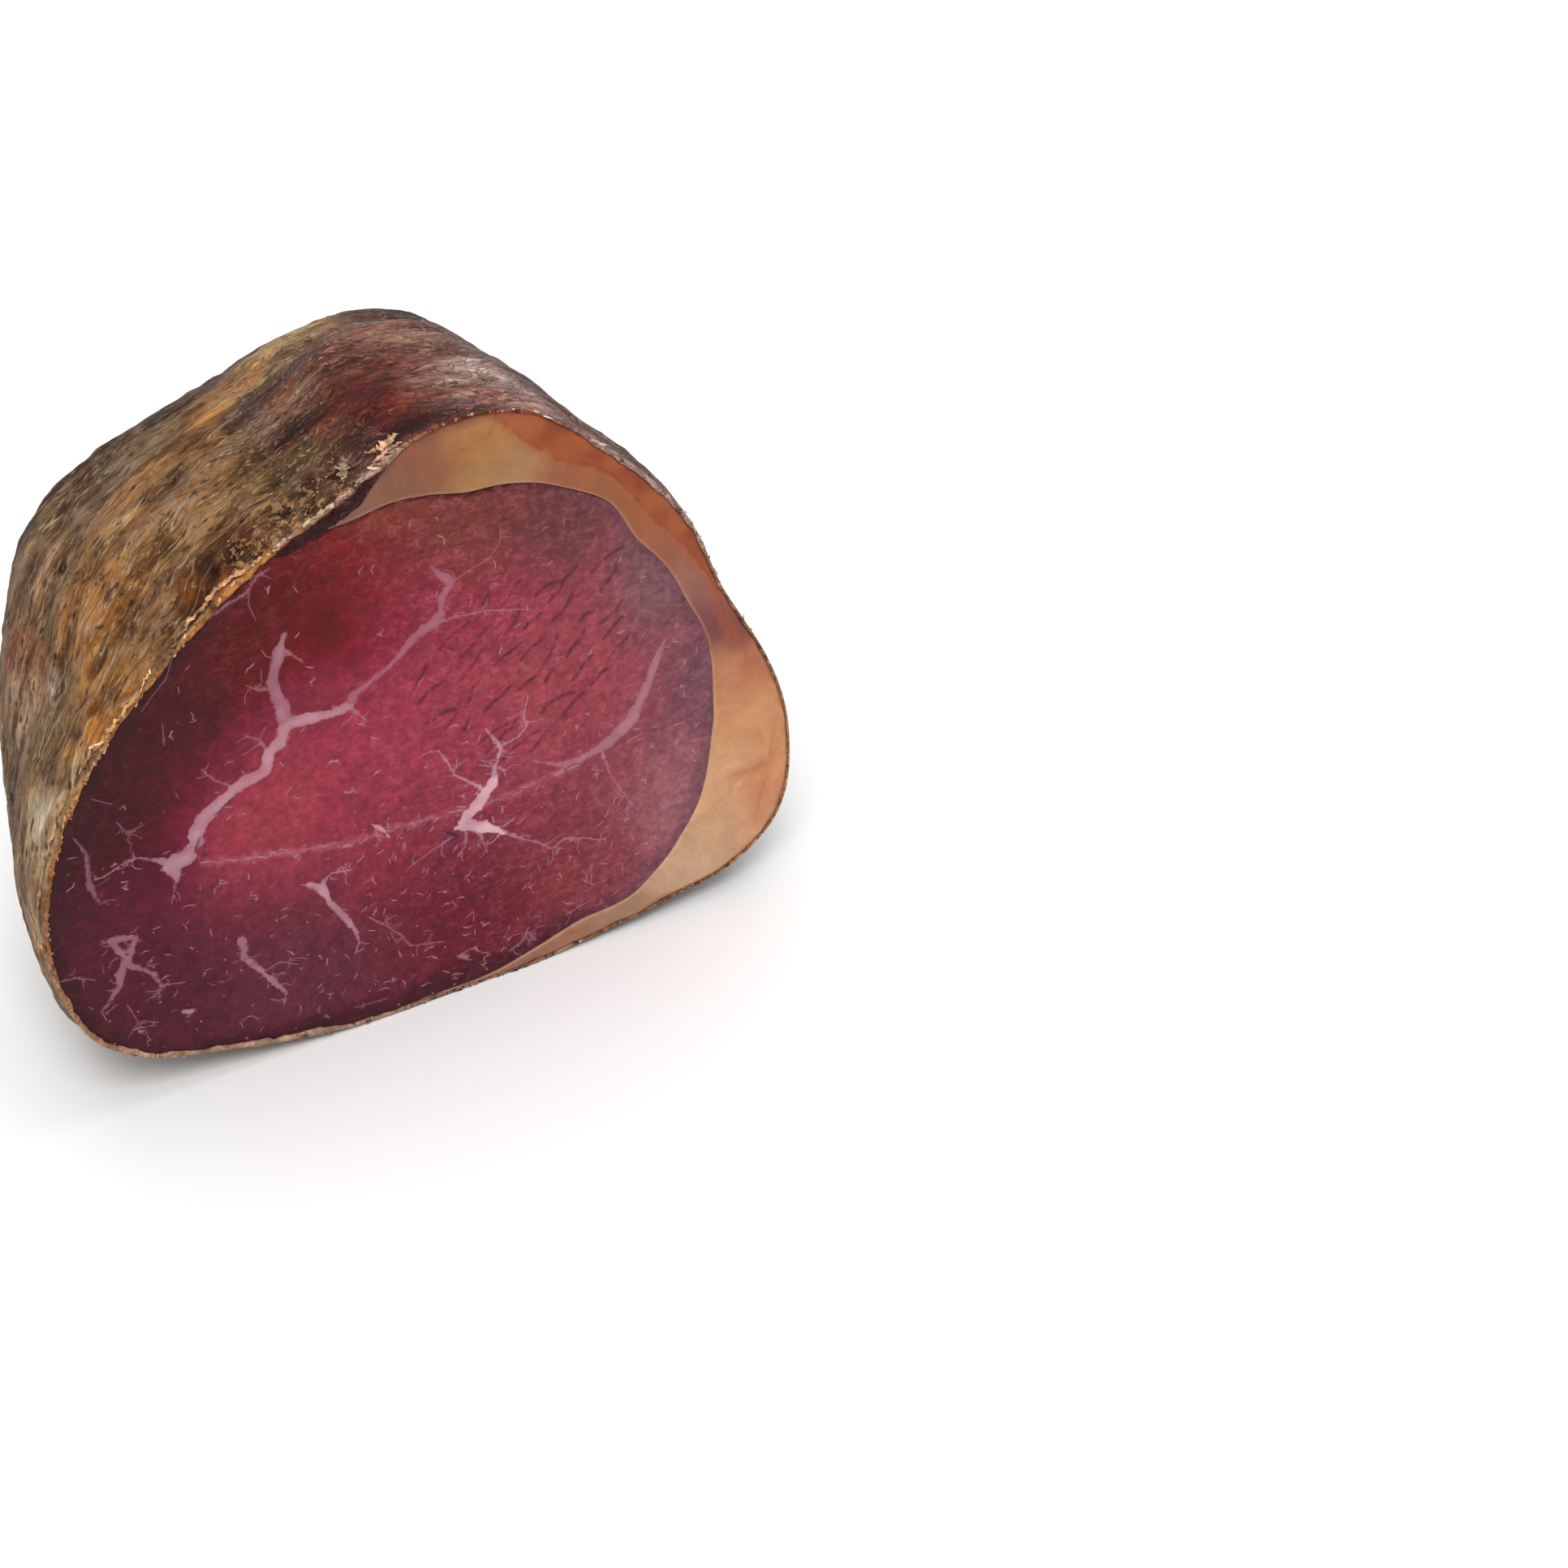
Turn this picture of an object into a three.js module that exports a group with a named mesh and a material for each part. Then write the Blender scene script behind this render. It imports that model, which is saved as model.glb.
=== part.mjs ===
// A half of a cecina, the salted, smoked and air-dried haunch of beef, cut clean across.
// Millimetres. X runs along the width of the cut, Y from the cut into the piece, Z upwards.
// Two pieces fit together: the lean, and the cap of fat that runs back over its top and
// right side. Both are surfaces of an angle round the long axis and a depth behind the cut.
import * as THREE from "three";
import { mergeVertices } from "three/addons/utils/BufferGeometryUtils.js";

// Overall form
const BODY_DEPTH = 118; // from the cut to the furthest point of the back
const AXIS_HEIGHT = 81.1; // height of the axis at the cut, above the surface the piece lies on
const AXIS_DRIFT_X = 0.033; // sideways drift of the axis for each millimetre of depth
const AXIS_RISE = 0.02; // rise of the axis for each millimetre of depth
const CUT_FACE_Y = -59.1; // the cut, placed so that the piece is centred over the origin
const DEPTH_EXPONENT = 2.39; // how squarely the side turns into the back, along the depth
const SIDE_EXPONENT = 2.86; // how squarely it turns, across the depth
const BASE_EXPONENT = 5.5; // the same on the underside, which stays flat far back
const SWELL_REACH = 0.617; // share of the depth over which the outline of the back takes over

// The outline of the cut, as an angle in degrees up from +X and a radius from the axis
const CUT_OUTLINE = {
  bluntEnd: [-170, 104.3],
  bluntEndLow: [-152, 110.0],
  lowerLeftCorner: [-143, 107.2],
  lowerLeftEdge: [-128, 94.2],
  undersideLeft: [-110, 85.4],
  undersideMiddle: [-90, 81.5],
  undersideRight: [-66, 88.0],
  lowerRightEdge: [-50, 99.9],
  beakBelow: [-40, 111.7],
  beakTip: [-31, 116.2],
  beakAbove: [-20, 109.6],
  rightHollow: [8, 86.1],
  rightShoulder: [28, 83.7],
  upperRight: [50, 83.6],
  crown: [72, 88.9],
  crownLeft: [90, 84.5],
  capEnd: [105, 76.6],
  flankTop: [125, 75.9],
  flankMiddle: [145, 79.3],
  flankLow: [165, 89.5],
};

// How much wider (+) or narrower (-) the piece is at its back than at the cut, every 30 degrees
const BACK_SWELL = [-0.019, -0.097, 0.004, -0.011, 0.009, 0.136, -0.026, -0.092, 0.1, 0.1, 0.1, 0.015];

// Thickness of the fat at the cut, by angle
const FAT_THICKNESS = {
  undersideTip: [-98, 1.4],
  undersideStrip: [-80, 2.4],
  lowerRightStrip: [-62, 7.4],
  lowerRightCorner: [-51, 9.0],
  beakBelow: [-38, 23.3],
  beakTip: [-28, 27.2],
  beakAbove: [-14, 21.7],
  rightHollow: [3, 11.2],
  rightNeck: [16, 10.1],
  rightShoulder: [32, 13.0],
  upperRightNeck: [45, 10.7],
  upperRight: [58, 14.7],
  crown: [76, 21.5],
  crownLeft: [88, 17.0],
  capThin: [100, 9.6],
  capThinner: [112, 3.9],
  flankTip: [121, 1.4],
};
const FAT_EDGE_THICKNESS = 1.4; // where it feathers out, at its sides and at the back
const FAT_REACH = 0.9; // share of the way round to the middle of the back that it covers
const SEAM_GAP = 0.35; // clearance between the fat and the lean

// Relief of the dried outside: broad dents, and folds that run round the piece
const DENT_HEIGHT = 2.4;
const DENT_SIZE = 30;
const FOLD_HEIGHT = 1.7;
const FOLD_SPACING = 15; // along the depth
const FOLD_LENGTH = 46; // across the depth
const FOLD_DRIFT = 9; // how far a fold wanders along the depth
const RELIEF_START = 12; // the relief is full this far behind the cut

// The dry rim of the cut, which stands a little proud of the flesh, with one loose flake
const RIM_WIDTH = 2.0;
const RIM_HEIGHT = 0.9;
const RIM_BITS = 7; // ragged bits along one radian
const FLAKE_ANGLE = 95;
const FLAKE_SPREAD = 2.6; // degrees
const FLAKE_HEIGHT = 3.2;

// Fineness of the faceted surface
const FAT_COLUMNS = 56;
const BARE_COLUMNS = 36; // over the angles that have no fat
const FAT_ROWS = 26;
const BACK_ROWS = 5; // behind the end of the fat
const SEAM_STEP = 1.0; // degrees that the lean takes to climb from under the fat

const radians = THREE.MathUtils.degToRad;

function smoothstep(x) {
  return THREE.MathUtils.smoothstep(x, 0, 1);
}

// Cubic curve through the stations [position, value], with the slope at each station taken
// from its two neighbours. With a period the curve closes on itself.
function curveThrough(stations, position, period = 0) {
  let points = stations;
  let x = THREE.MathUtils.clamp(position, points[0][0], points.at(-1)[0]);
  if (period) {
    const start = stations[0][0];
    x = start + THREE.MathUtils.euclideanModulo(position - start, period);
    points = [
      [stations.at(-1)[0] - period, stations.at(-1)[1]],
      ...stations,
      [stations[0][0] + period, stations[0][1]],
      [stations[1][0] + period, stations[1][1]],
    ];
  }
  const slope = (k) => {
    if (k < 1 || k > points.length - 2) return 0;
    return (points[k + 1][1] - points[k - 1][1]) / (points[k + 1][0] - points[k - 1][0]);
  };
  let i = points.findIndex((p, k) => k > 0 && x <= p[0]) - 1;
  if (period) i = Math.max(i, 1);
  const [x0, y0] = points[i];
  const [x1, y1] = points[i + 1];
  const h = x1 - x0;
  const t = (x - x0) / h;
  return (2 * t ** 3 - 3 * t ** 2 + 1) * y0 + (t ** 3 - 2 * t ** 2 + t) * h * slope(i)
    + (3 * t ** 2 - 2 * t ** 3) * y1 + (t ** 3 - t ** 2) * h * slope(i + 1);
}

const outlineStations = Object.values(CUT_OUTLINE);
const thicknessStations = Object.values(FAT_THICKNESS);
const swellStations = BACK_SWELL.map((swell, k) => [k * 30, swell]);
const FAT_FROM = thicknessStations[0][0];
const FAT_TO = thicknessStations.at(-1)[0];

// A repeatable random value from 0 to 1 for each crossing of a lattice
function latticeValue(i, j, k, seed) {
  const s = Math.sin(i * 127.1 + j * 311.7 + k * 74.7 + seed * 269.5) * 43758.5453;
  return s - Math.floor(s);
}

// Smooth noise from -1 to 1 over space, with one swing for each unit of length
function noise(x, y, z, seed) {
  const [i, j, k] = [Math.floor(x), Math.floor(y), Math.floor(z)];
  const [r, s, t] = [smoothstep(x - i), smoothstep(y - j), smoothstep(z - k)];
  const { lerp } = THREE.MathUtils;
  const alongX = (dj, dk) =>
    lerp(latticeValue(i, j + dj, k + dk, seed), latticeValue(i + 1, j + dj, k + dk, seed), r);
  const near = lerp(alongX(0, 0), alongX(1, 0), s);
  const far = lerp(alongX(0, 1), alongX(1, 1), s);
  return 2 * lerp(near, far, t) - 1;
}

// Share of the radius left at depth parameter u, from 0 at the cut to 1 in the middle of the back
function taper(angle, u) {
  const underside = smoothstep((-Math.sin(radians(angle)) - 0.35) / 0.4);
  const exponent = THREE.MathUtils.lerp(SIDE_EXPONENT, BASE_EXPONENT, underside);
  return Math.max(Math.cos(u * Math.PI / 2), 0) ** (2 / exponent);
}

function depthShare(u) {
  return Math.sin(u * Math.PI / 2) ** (2 / DEPTH_EXPONENT);
}

// Height of the relief at a point of the smooth outside, positive outwards
function relief(point) {
  const { x, y, z } = point;
  const dents = DENT_HEIGHT * noise(x / DENT_SIZE, y / DENT_SIZE, z / DENT_SIZE, 1);
  const drift = FOLD_DRIFT * noise(x / FOLD_LENGTH, y / FOLD_LENGTH, z / FOLD_LENGTH, 2);
  const folds = FOLD_HEIGHT * noise(x / FOLD_LENGTH, (y + drift) / FOLD_SPACING, z / FOLD_LENGTH, 3);
  return smoothstep(y / RELIEF_START) * (dents + folds);
}

// The way out of the surface: straight out from the axis at the cut, backwards at the back
function outwards(angle, u) {
  const lean = u * Math.PI / 2;
  return new THREE.Vector3(
    Math.cos(radians(angle)) * Math.cos(lean),
    Math.sin(lean),
    Math.sin(radians(angle)) * Math.cos(lean),
  );
}

// A point of the whole piece, at an angle and depth, inset below its outside
function bodyPoint(angle, u, inset = 0) {
  const share = depthShare(u);
  const swell = 1 + smoothstep(share / SWELL_REACH) * curveThrough(swellStations, angle, 360);
  const radius = taper(angle, u) * swell * curveThrough(outlineStations, angle, 360);
  const y = BODY_DEPTH * share;
  const point = new THREE.Vector3(
    AXIS_DRIFT_X * y + radius * Math.cos(radians(angle)),
    y,
    AXIS_HEIGHT + AXIS_RISE * y + radius * Math.sin(radians(angle)),
  );
  point.addScaledVector(outwards(angle, u), relief(point));
  point.z = Math.max(point.z, 0);
  return point.addScaledVector(outwards(angle, u), -inset);
}

function fatThickness(angle, u) {
  const full = curveThrough(thicknessStations, angle);
  const fade = 1 - smoothstep((u - 0.1) / (FAT_REACH - 0.1));
  return FAT_EDGE_THICKNESS + (full - FAT_EDGE_THICKNESS) * fade;
}

// How far the dry rim stands proud of the cut
function rimHeight(angle) {
  const way = outwards(angle, 0).multiplyScalar(RIM_BITS);
  const ragged = 0.5 + 0.5 * noise(way.x, way.y, way.z, 4);
  const flake = Math.exp(-(((angle - FLAKE_ANGLE) / FLAKE_SPREAD) ** 2));
  return RIM_HEIGHT * ragged + FLAKE_HEIGHT * flake;
}

// Depth parameters from u = from to u = to, in steps of equal length along the side
function evenDepths(from, to, steps) {
  const SAMPLES = 600;
  const trail = [];
  let length = 0;
  let last = null;
  for (let k = 0; k <= SAMPLES; k += 1) {
    const u = from + (to - from) * k / SAMPLES;
    const here = new THREE.Vector2(BODY_DEPTH * depthShare(u), AXIS_HEIGHT * taper(90, u));
    length += last ? here.distanceTo(last) : 0;
    trail.push([length, u]);
    last = here;
  }
  return Array.from({ length: steps + 1 }, (_, k) => {
    const wanted = length * k / steps;
    return trail.find((entry) => entry[0] >= wanted - 1e-9)[1];
  });
}

// Triangles over a grid of points, first index round the axis, second along the depth
function skin(grid, inwards = false) {
  const triangles = [];
  for (let i = 0; i < grid.length - 1; i += 1) {
    for (let j = 0; j < grid[i].length - 1; j += 1) {
      const [a, b, c, d] = [grid[i][j], grid[i][j + 1], grid[i + 1][j + 1], grid[i + 1][j]];
      for (const [p, q, r] of [[a, b, c], [a, c, d]]) {
        const flat = p.distanceTo(q) < 1e-6 || q.distanceTo(r) < 1e-6 || r.distanceTo(p) < 1e-6;
        if (!flat) triangles.push(...(inwards ? [p, r, q] : [p, q, r]));
      }
    }
  }
  return triangles;
}

function solid(name, points, material) {
  const geometry = mergeVertices(new THREE.BufferGeometry().setFromPoints(points), 1e-4);
  geometry.computeVertexNormals();
  const mesh = new THREE.Mesh(geometry, material);
  mesh.name = name;
  return mesh;
}

const range = (count) => Array.from({ length: count + 1 }, (_, k) => k);

const fatAngles = range(FAT_COLUMNS).map((k) => FAT_FROM + (FAT_TO - FAT_FROM) * k / FAT_COLUMNS);
const bareFrom = FAT_TO + SEAM_STEP;
const bareTo = FAT_FROM + 360 - SEAM_STEP;
const bareAngles = range(BARE_COLUMNS).map((k) => bareFrom + (bareTo - bareFrom) * k / BARE_COLUMNS);
const fatDepths = evenDepths(0, FAT_REACH, FAT_ROWS);
const backDepths = evenDepths(FAT_REACH, 1, BACK_ROWS).slice(1);

// The fat: an outer, a middle and an inner sheet, closed along the cut, the back and both sides
function fatCap() {
  const sheet = (share) => fatAngles.map((angle) => fatDepths.map((u, j) => {
    const thickness = fatThickness(angle, u);
    const middle = j === 0 ? Math.min(RIM_WIDTH, thickness / 2) : thickness / 2;
    const inset = [0, middle, thickness][share];
    const point = bodyPoint(angle, u, inset);
    if (j === 0 && share === 0) point.y -= rimHeight(angle);
    return point;
  }));
  const [outer, middle, inner] = [sheet(0), sheet(1), sheet(2)];
  const last = fatDepths.length - 1;
  const points = [
    ...skin(outer),
    ...skin(inner, true),
    ...skin(outer.map((_, i) => [inner[i][0], middle[i][0], outer[i][0]])),
    ...skin(outer.map((_, i) => [outer[i][last], middle[i][last], inner[i][last]])),
    ...skin([inner[0], middle[0], outer[0]]),
    ...skin([outer.at(-1), middle.at(-1), inner.at(-1)]),
  ];
  const material = new THREE.MeshStandardMaterial({ color: 0xd2a774, roughness: 0.45, metalness: 0 });
  return solid("fat_cap", points, material);
}

// The lean: bare on the left and below, and under the fat everywhere else
function lean() {
  const underFat = fatAngles.map((angle) => [
    ...fatDepths.map((u) => bodyPoint(angle, u, fatThickness(angle, u) + SEAM_GAP)),
    ...backDepths.map((u) => bodyPoint(angle, u)),
  ]);
  const bare = bareAngles.map((angle) => [...fatDepths, ...backDepths].map((u) => bodyPoint(angle, u)));
  const rimInside = [
    ...fatAngles.map((angle) => bodyPoint(angle, 0, fatThickness(angle, 0) + SEAM_GAP + RIM_WIDTH)),
    ...bareAngles.map((angle) => bodyPoint(angle, 0, RIM_WIDTH)),
  ];
  bare.forEach((column, k) => {
    column[0].y -= rimHeight(bareAngles[k]);
  });
  const columns = [...underFat, ...bare];
  columns.push(columns[0]);
  rimInside.push(rimInside[0]);
  const middle = new THREE.Vector3(0, 0, AXIS_HEIGHT);
  const points = [
    ...skin(columns),
    ...skin(columns.map((column, i) => [middle, rimInside[i], column[0]])),
  ];
  const material = new THREE.MeshStandardMaterial({ color: 0x8a3444, roughness: 0.4, metalness: 0 });
  return solid("lean", points, material);
}

const cecina = new THREE.Group();
cecina.add(lean(), fatCap());
cecina.position.set(0, CUT_FACE_Y, 0);

export default cecina;
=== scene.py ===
# The looks of a half of a cecina: the knife-cut lean with its marbling, the waxy fat that wraps
# its top and right side, and the smoke-dried rind with its ragged rim.
# Lengths are millimetres until a mesh is made. X runs along the width of the cut, Y from the cut
# into the piece and Z upwards. The form repeats the model's own outline, taper and relief.
from functools import partial

import bpy
import numpy as np
from mathutils import Matrix


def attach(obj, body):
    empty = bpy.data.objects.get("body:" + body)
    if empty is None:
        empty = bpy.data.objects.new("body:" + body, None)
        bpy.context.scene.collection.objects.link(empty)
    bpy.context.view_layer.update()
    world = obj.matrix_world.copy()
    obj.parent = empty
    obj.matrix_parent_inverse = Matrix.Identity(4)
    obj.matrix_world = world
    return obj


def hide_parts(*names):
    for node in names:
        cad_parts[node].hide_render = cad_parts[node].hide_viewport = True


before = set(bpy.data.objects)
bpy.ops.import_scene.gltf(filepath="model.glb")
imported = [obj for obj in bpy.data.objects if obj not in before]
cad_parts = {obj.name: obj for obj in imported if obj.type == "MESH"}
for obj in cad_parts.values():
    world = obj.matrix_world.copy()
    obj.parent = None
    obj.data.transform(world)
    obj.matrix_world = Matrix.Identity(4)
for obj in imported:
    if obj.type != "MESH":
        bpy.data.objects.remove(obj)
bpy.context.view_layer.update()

MM = 0.001

# The model's form, as its source names it
BODY_DEPTH = 118
AXIS_HEIGHT = 81.1
AXIS_DRIFT_X = 0.033
AXIS_RISE = 0.02
CUT_FACE_Y = -59.1
DEPTH_EXPONENT = 2.39
SIDE_EXPONENT = 2.86
BASE_EXPONENT = 5.5
SWELL_REACH = 0.617
CUT_OUTLINE = {
    "blunt_end": (-170, 104.3),
    "blunt_end_low": (-152, 110.0),
    "lower_left_corner": (-143, 107.2),
    "lower_left_edge": (-128, 94.2),
    "underside_left": (-110, 85.4),
    "underside_middle": (-90, 81.5),
    "underside_right": (-66, 88.0),
    "lower_right_edge": (-50, 99.9),
    "beak_below": (-40, 111.7),
    "beak_tip": (-31, 116.2),
    "beak_above": (-20, 109.6),
    "right_hollow": (8, 86.1),
    "right_shoulder": (28, 83.7),
    "upper_right": (50, 83.6),
    "crown": (72, 88.9),
    "crown_left": (90, 84.5),
    "cap_end": (105, 76.6),
    "flank_top": (125, 75.9),
    "flank_middle": (145, 79.3),
    "flank_low": (165, 89.5),
}
BACK_SWELL = [-0.019, -0.097, 0.004, -0.011, 0.009, 0.136, -0.026, -0.092, 0.1, 0.1, 0.1, 0.015]
SWELL_STEP = 30
FAT_THICKNESS = {
    "underside_tip": (-98, 1.4),
    "underside_strip": (-80, 2.4),
    "lower_right_strip": (-62, 7.4),
    "lower_right_corner": (-51, 9.0),
    "beak_below": (-38, 23.3),
    "beak_tip": (-28, 27.2),
    "beak_above": (-14, 21.7),
    "right_hollow": (3, 11.2),
    "right_neck": (16, 10.1),
    "right_shoulder": (32, 13.0),
    "upper_right_neck": (45, 10.7),
    "upper_right": (58, 14.7),
    "crown": (76, 21.5),
    "crown_left": (88, 17.0),
    "cap_thin": (100, 9.6),
    "cap_thinner": (112, 3.9),
    "flank_tip": (121, 1.4),
}
FAT_EDGE_THICKNESS = 1.4
FAT_REACH = 0.9
SEAM_GAP = 0.08  # the fat has grown onto the lean, so the cut shows no gap
DENT_HEIGHT = 2.4
DENT_SIZE = 30
FOLD_HEIGHT = 1.7
FOLD_SPACING = 15
FOLD_LENGTH = 46
FOLD_DRIFT = 9
RELIEF_START = 12
RIM_HEIGHT = 0.9
RIM_BITS = 7
FLAKE_ANGLE = 95
FLAKE_SPREAD = 2.6
FLAKE_HEIGHT = 3.2

# The camera: where it stands round the piece, and the point of the frame's middle
CAMERA_AZIMUTH = -31
CAMERA_ELEVATION = 36
CAMERA_DISTANCE = 980.8
CAMERA_AIM = np.array([101.4, CUT_FACE_Y, 29.0])
LENS = 85
SENSOR = 36
PHOTO_SIZE = 1932


def smoothstep(x):
    """0 below 0, 1 above 1, and 3x^2 - 2x^3 between."""
    t = np.clip(x, 0, 1)
    return t * t * (3 - 2 * t)


def mix(a, b, share):
    """a where share is 0, b where it is 1, and a straight blend between."""
    return a + (b - a) * share


def curve_through(stations, position, period=0):
    """Cubic Hermite curve through the stations (position, value). The slope at each station is the
    rise between its two neighbours over their distance. With a period the curve closes on itself."""
    at, value = np.array(stations, float).T
    x = np.clip(position, at[0], at[-1])
    first = 0
    if period:
        x = at[0] + np.mod(np.asarray(position, float) - at[0], period)
        at = np.concatenate([[at[-1] - period], at, at[:2] + period])
        value = np.concatenate([[value[-1]], value, value[:2]])
        first = 1
    slope = np.zeros_like(value)
    slope[1:-1] = (value[2:] - value[:-2]) / (at[2:] - at[:-2])
    i = np.clip(np.searchsorted(at, x) - 1, first, len(at) - 2)
    h = at[i + 1] - at[i]
    t = (x - at[i]) / h
    start = (2 * t**3 - 3 * t**2 + 1) * value[i] + (t**3 - 2 * t**2 + t) * h * slope[i]
    end = (3 * t**2 - 2 * t**3) * value[i + 1] + (t**3 - t**2) * h * slope[i + 1]
    return start + end


def lattice_value(i, j, k, seed):
    """A repeatable value from 0 to 1 for each crossing: the fraction of a large sine."""
    s = np.sin(i * 127.1 + j * 311.7 + k * 74.7 + seed * 269.5) * 43758.5453
    return s - np.floor(s)


def noise(x, y, z, seed):
    """Smooth noise from -1 to 1: the lattice values blended by smoothstep along the three axes."""
    i, j, k = np.floor(x), np.floor(y), np.floor(z)
    r, s, t = smoothstep(x - i), smoothstep(y - j), smoothstep(z - k)

    def along_x(dj, dk):
        start, end = (lattice_value(i + di, j + dj, k + dk, seed) for di in (0, 1))
        return mix(start, end, r)

    near = mix(along_x(0, 0), along_x(1, 0), s)
    far = mix(along_x(0, 1), along_x(1, 1), s)
    return 2 * mix(near, far, t) - 1


def noise_at(points, size, seed):
    """The noise at points, with one swing for each size: a length, or one for each axis."""
    x, y, z = (np.asarray(points, float) / size).T
    return noise(x, y, z, seed).T


def outline(angle):
    """Radius of the cut's outline at an angle."""
    return curve_through(list(CUT_OUTLINE.values()), angle, 360)


def depth_share(u):
    """Share of the depth at u, from 0 at the cut to 1 in the middle of the back: sin^(2/exponent)."""
    return np.sin(u * np.pi / 2) ** (2 / DEPTH_EXPONENT)


def taper(angle, u):
    """Share of the radius left at u: cos^(2/exponent), squarer on the underside."""
    underside = smoothstep((-np.sin(np.radians(angle)) - 0.35) / 0.4)
    exponent = mix(SIDE_EXPONENT, BASE_EXPONENT, underside)
    return np.maximum(np.cos(u * np.pi / 2), 0) ** (2 / exponent)


def outwards(angle, u):
    """Unit vector that turns from straight out at the cut to straight back at the back."""
    a, lean = np.broadcast_arrays(np.radians(angle), np.asarray(u) * np.pi / 2)
    return np.stack([np.cos(a) * np.cos(lean), np.sin(lean), np.sin(a) * np.cos(lean)], -1)


def relief(points):
    """Dents from broad noise, and folds from noise that is drawn out round the piece."""
    x, y, z = np.moveaxis(points, -1, 0)
    dents = DENT_HEIGHT * noise(x / DENT_SIZE, y / DENT_SIZE, z / DENT_SIZE, 1)
    drift = FOLD_DRIFT * noise(x / FOLD_LENGTH, y / FOLD_LENGTH, z / FOLD_LENGTH, 2)
    folds = FOLD_HEIGHT * noise(x / FOLD_LENGTH, (y + drift) / FOLD_SPACING, z / FOLD_LENGTH, 3)
    return smoothstep(y / RELIEF_START) * (dents + folds)


def body_point(angle, u, inset=0):
    """The outside at an angle and a depth, moved inwards by inset. The outline tapers and swells
    with depth round an axis that drifts and rises, the relief stands on it, and it is flat where
    it rests. Y is measured from the cut."""
    angle, u, inset = np.broadcast_arrays(angle, u, inset)
    share = depth_share(u)
    stations = [(SWELL_STEP * k, swell) for k, swell in enumerate(BACK_SWELL)]
    swell = 1 + smoothstep(share / SWELL_REACH) * curve_through(stations, angle, 360)
    radius = taper(angle, u) * swell * outline(angle)
    a = np.radians(angle)
    y = BODY_DEPTH * share
    x = AXIS_DRIFT_X * y + radius * np.cos(a)
    smooth = np.stack([x, y, AXIS_HEIGHT + AXIS_RISE * y + radius * np.sin(a)], -1)
    way = outwards(angle, u)
    points = smooth + way * relief(smooth)[..., None]
    points[..., 2] = np.maximum(points[..., 2], 0)
    return points - way * inset[..., None]


def fat_thickness(angle, u):
    """Thickness of the fat: full at the cut, feathered out towards the back."""
    full = curve_through(list(FAT_THICKNESS.values()), angle)
    fade = 1 - smoothstep((u - 0.1) / (FAT_REACH - 0.1))
    return FAT_EDGE_THICKNESS + (full - FAT_EDGE_THICKNESS) * fade


def rim_height(angle):
    """How far the dry rim stands proud of the cut: noise round the rim, and one flake."""
    x, y, z = np.moveaxis(outwards(angle, 0) * RIM_BITS, -1, 0)
    flake = np.exp(-(((angle - FLAKE_ANGLE) / FLAKE_SPREAD) ** 2))
    return RIM_HEIGHT * (0.5 + 0.5 * noise(x, y, z, 4)) + FLAKE_HEIGHT * flake


# Angles of the fat, kept within one turn that starts below it
FAT_FROM = FAT_THICKNESS["underside_tip"][0]
FAT_TO = FAT_THICKNESS["flank_tip"][0]
TURN_START = -150


def within_turn(angle):
    """The angle moved by whole turns, so that the fat's angles are in one piece."""
    return TURN_START + np.mod(np.asarray(angle, float) - TURN_START, 360)


def has_fat(angle):
    """1 at the angles that the fat covers, fading out over its last few degrees."""
    a = within_turn(angle)
    return smoothstep((a - FAT_FROM) / 3) * smoothstep((FAT_TO - a) / 3)


# The rind's thickness at the cut, by angle: thin on the fat, thicker where the flank has dried
RIND_THICKNESS = {
    "underside": (-90, 0.9),
    "lower_right": (-60, 0.8),
    "beak": (-30, 0.6),
    "right": (10, 0.8),
    "upper_right": (50, 0.9),
    "crown": (80, 1.0),
    "flake": (94, 2.0),
    # Over the next two the rind's cut face is wide, and it is painted dark as shadow
    "shadowed_band": (101, 5.6),
    "shadowed_band_low": (115, 4.2),
    "flank_top": (121, 1.9),
    "flank": (150, 1.2),
    "flank_low": (190, 1.1),
    "lower_left": (214, 1.4),
    "underside_left": (240, 1.7),
}
RIND_BACK_THICKNESS = 3.2
RAGGED_BITS = 26  # bits of the crust along one radian
RAGGED_SHARE = 0.34
CHIP_SEED = 5


def rind_thickness(angle, u=0):
    """Thickness of the rind: its own at the cut, with a ragged inner edge, and even a short way
    behind."""
    x, y, z = np.moveaxis(outwards(angle, 0) * RAGGED_BITS, -1, 0)
    ragged = 1 + RAGGED_SHARE * (noise(x, y, z, 5) + 0.6 * noise(x * 2.3, y, z * 2.3, 6))
    even = curve_through(list(RIND_THICKNESS.values()), angle, 360)
    at_cut = even + np.minimum(even, 1.6) * (ragged - 1)
    return mix(at_cut, RIND_BACK_THICKNESS, smoothstep(u / 0.05))


# The camera's axes, and the way between the photograph's pixels and the cut
azimuth, elevation = np.radians(CAMERA_AZIMUTH), np.radians(CAMERA_ELEVATION)
CAMERA_BACK = np.array(
    [np.sin(azimuth) * np.cos(elevation), -np.cos(azimuth) * np.cos(elevation), np.sin(elevation)]
)
CAMERA_RIGHT = np.array([np.cos(azimuth), np.sin(azimuth), 0])
CAMERA_UP = np.cross(CAMERA_BACK, CAMERA_RIGHT)
CAMERA_PLACE = CAMERA_AIM + CAMERA_BACK * CAMERA_DISTANCE
FOCAL_PIXELS = LENS / SENSOR * PHOTO_SIZE


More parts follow.
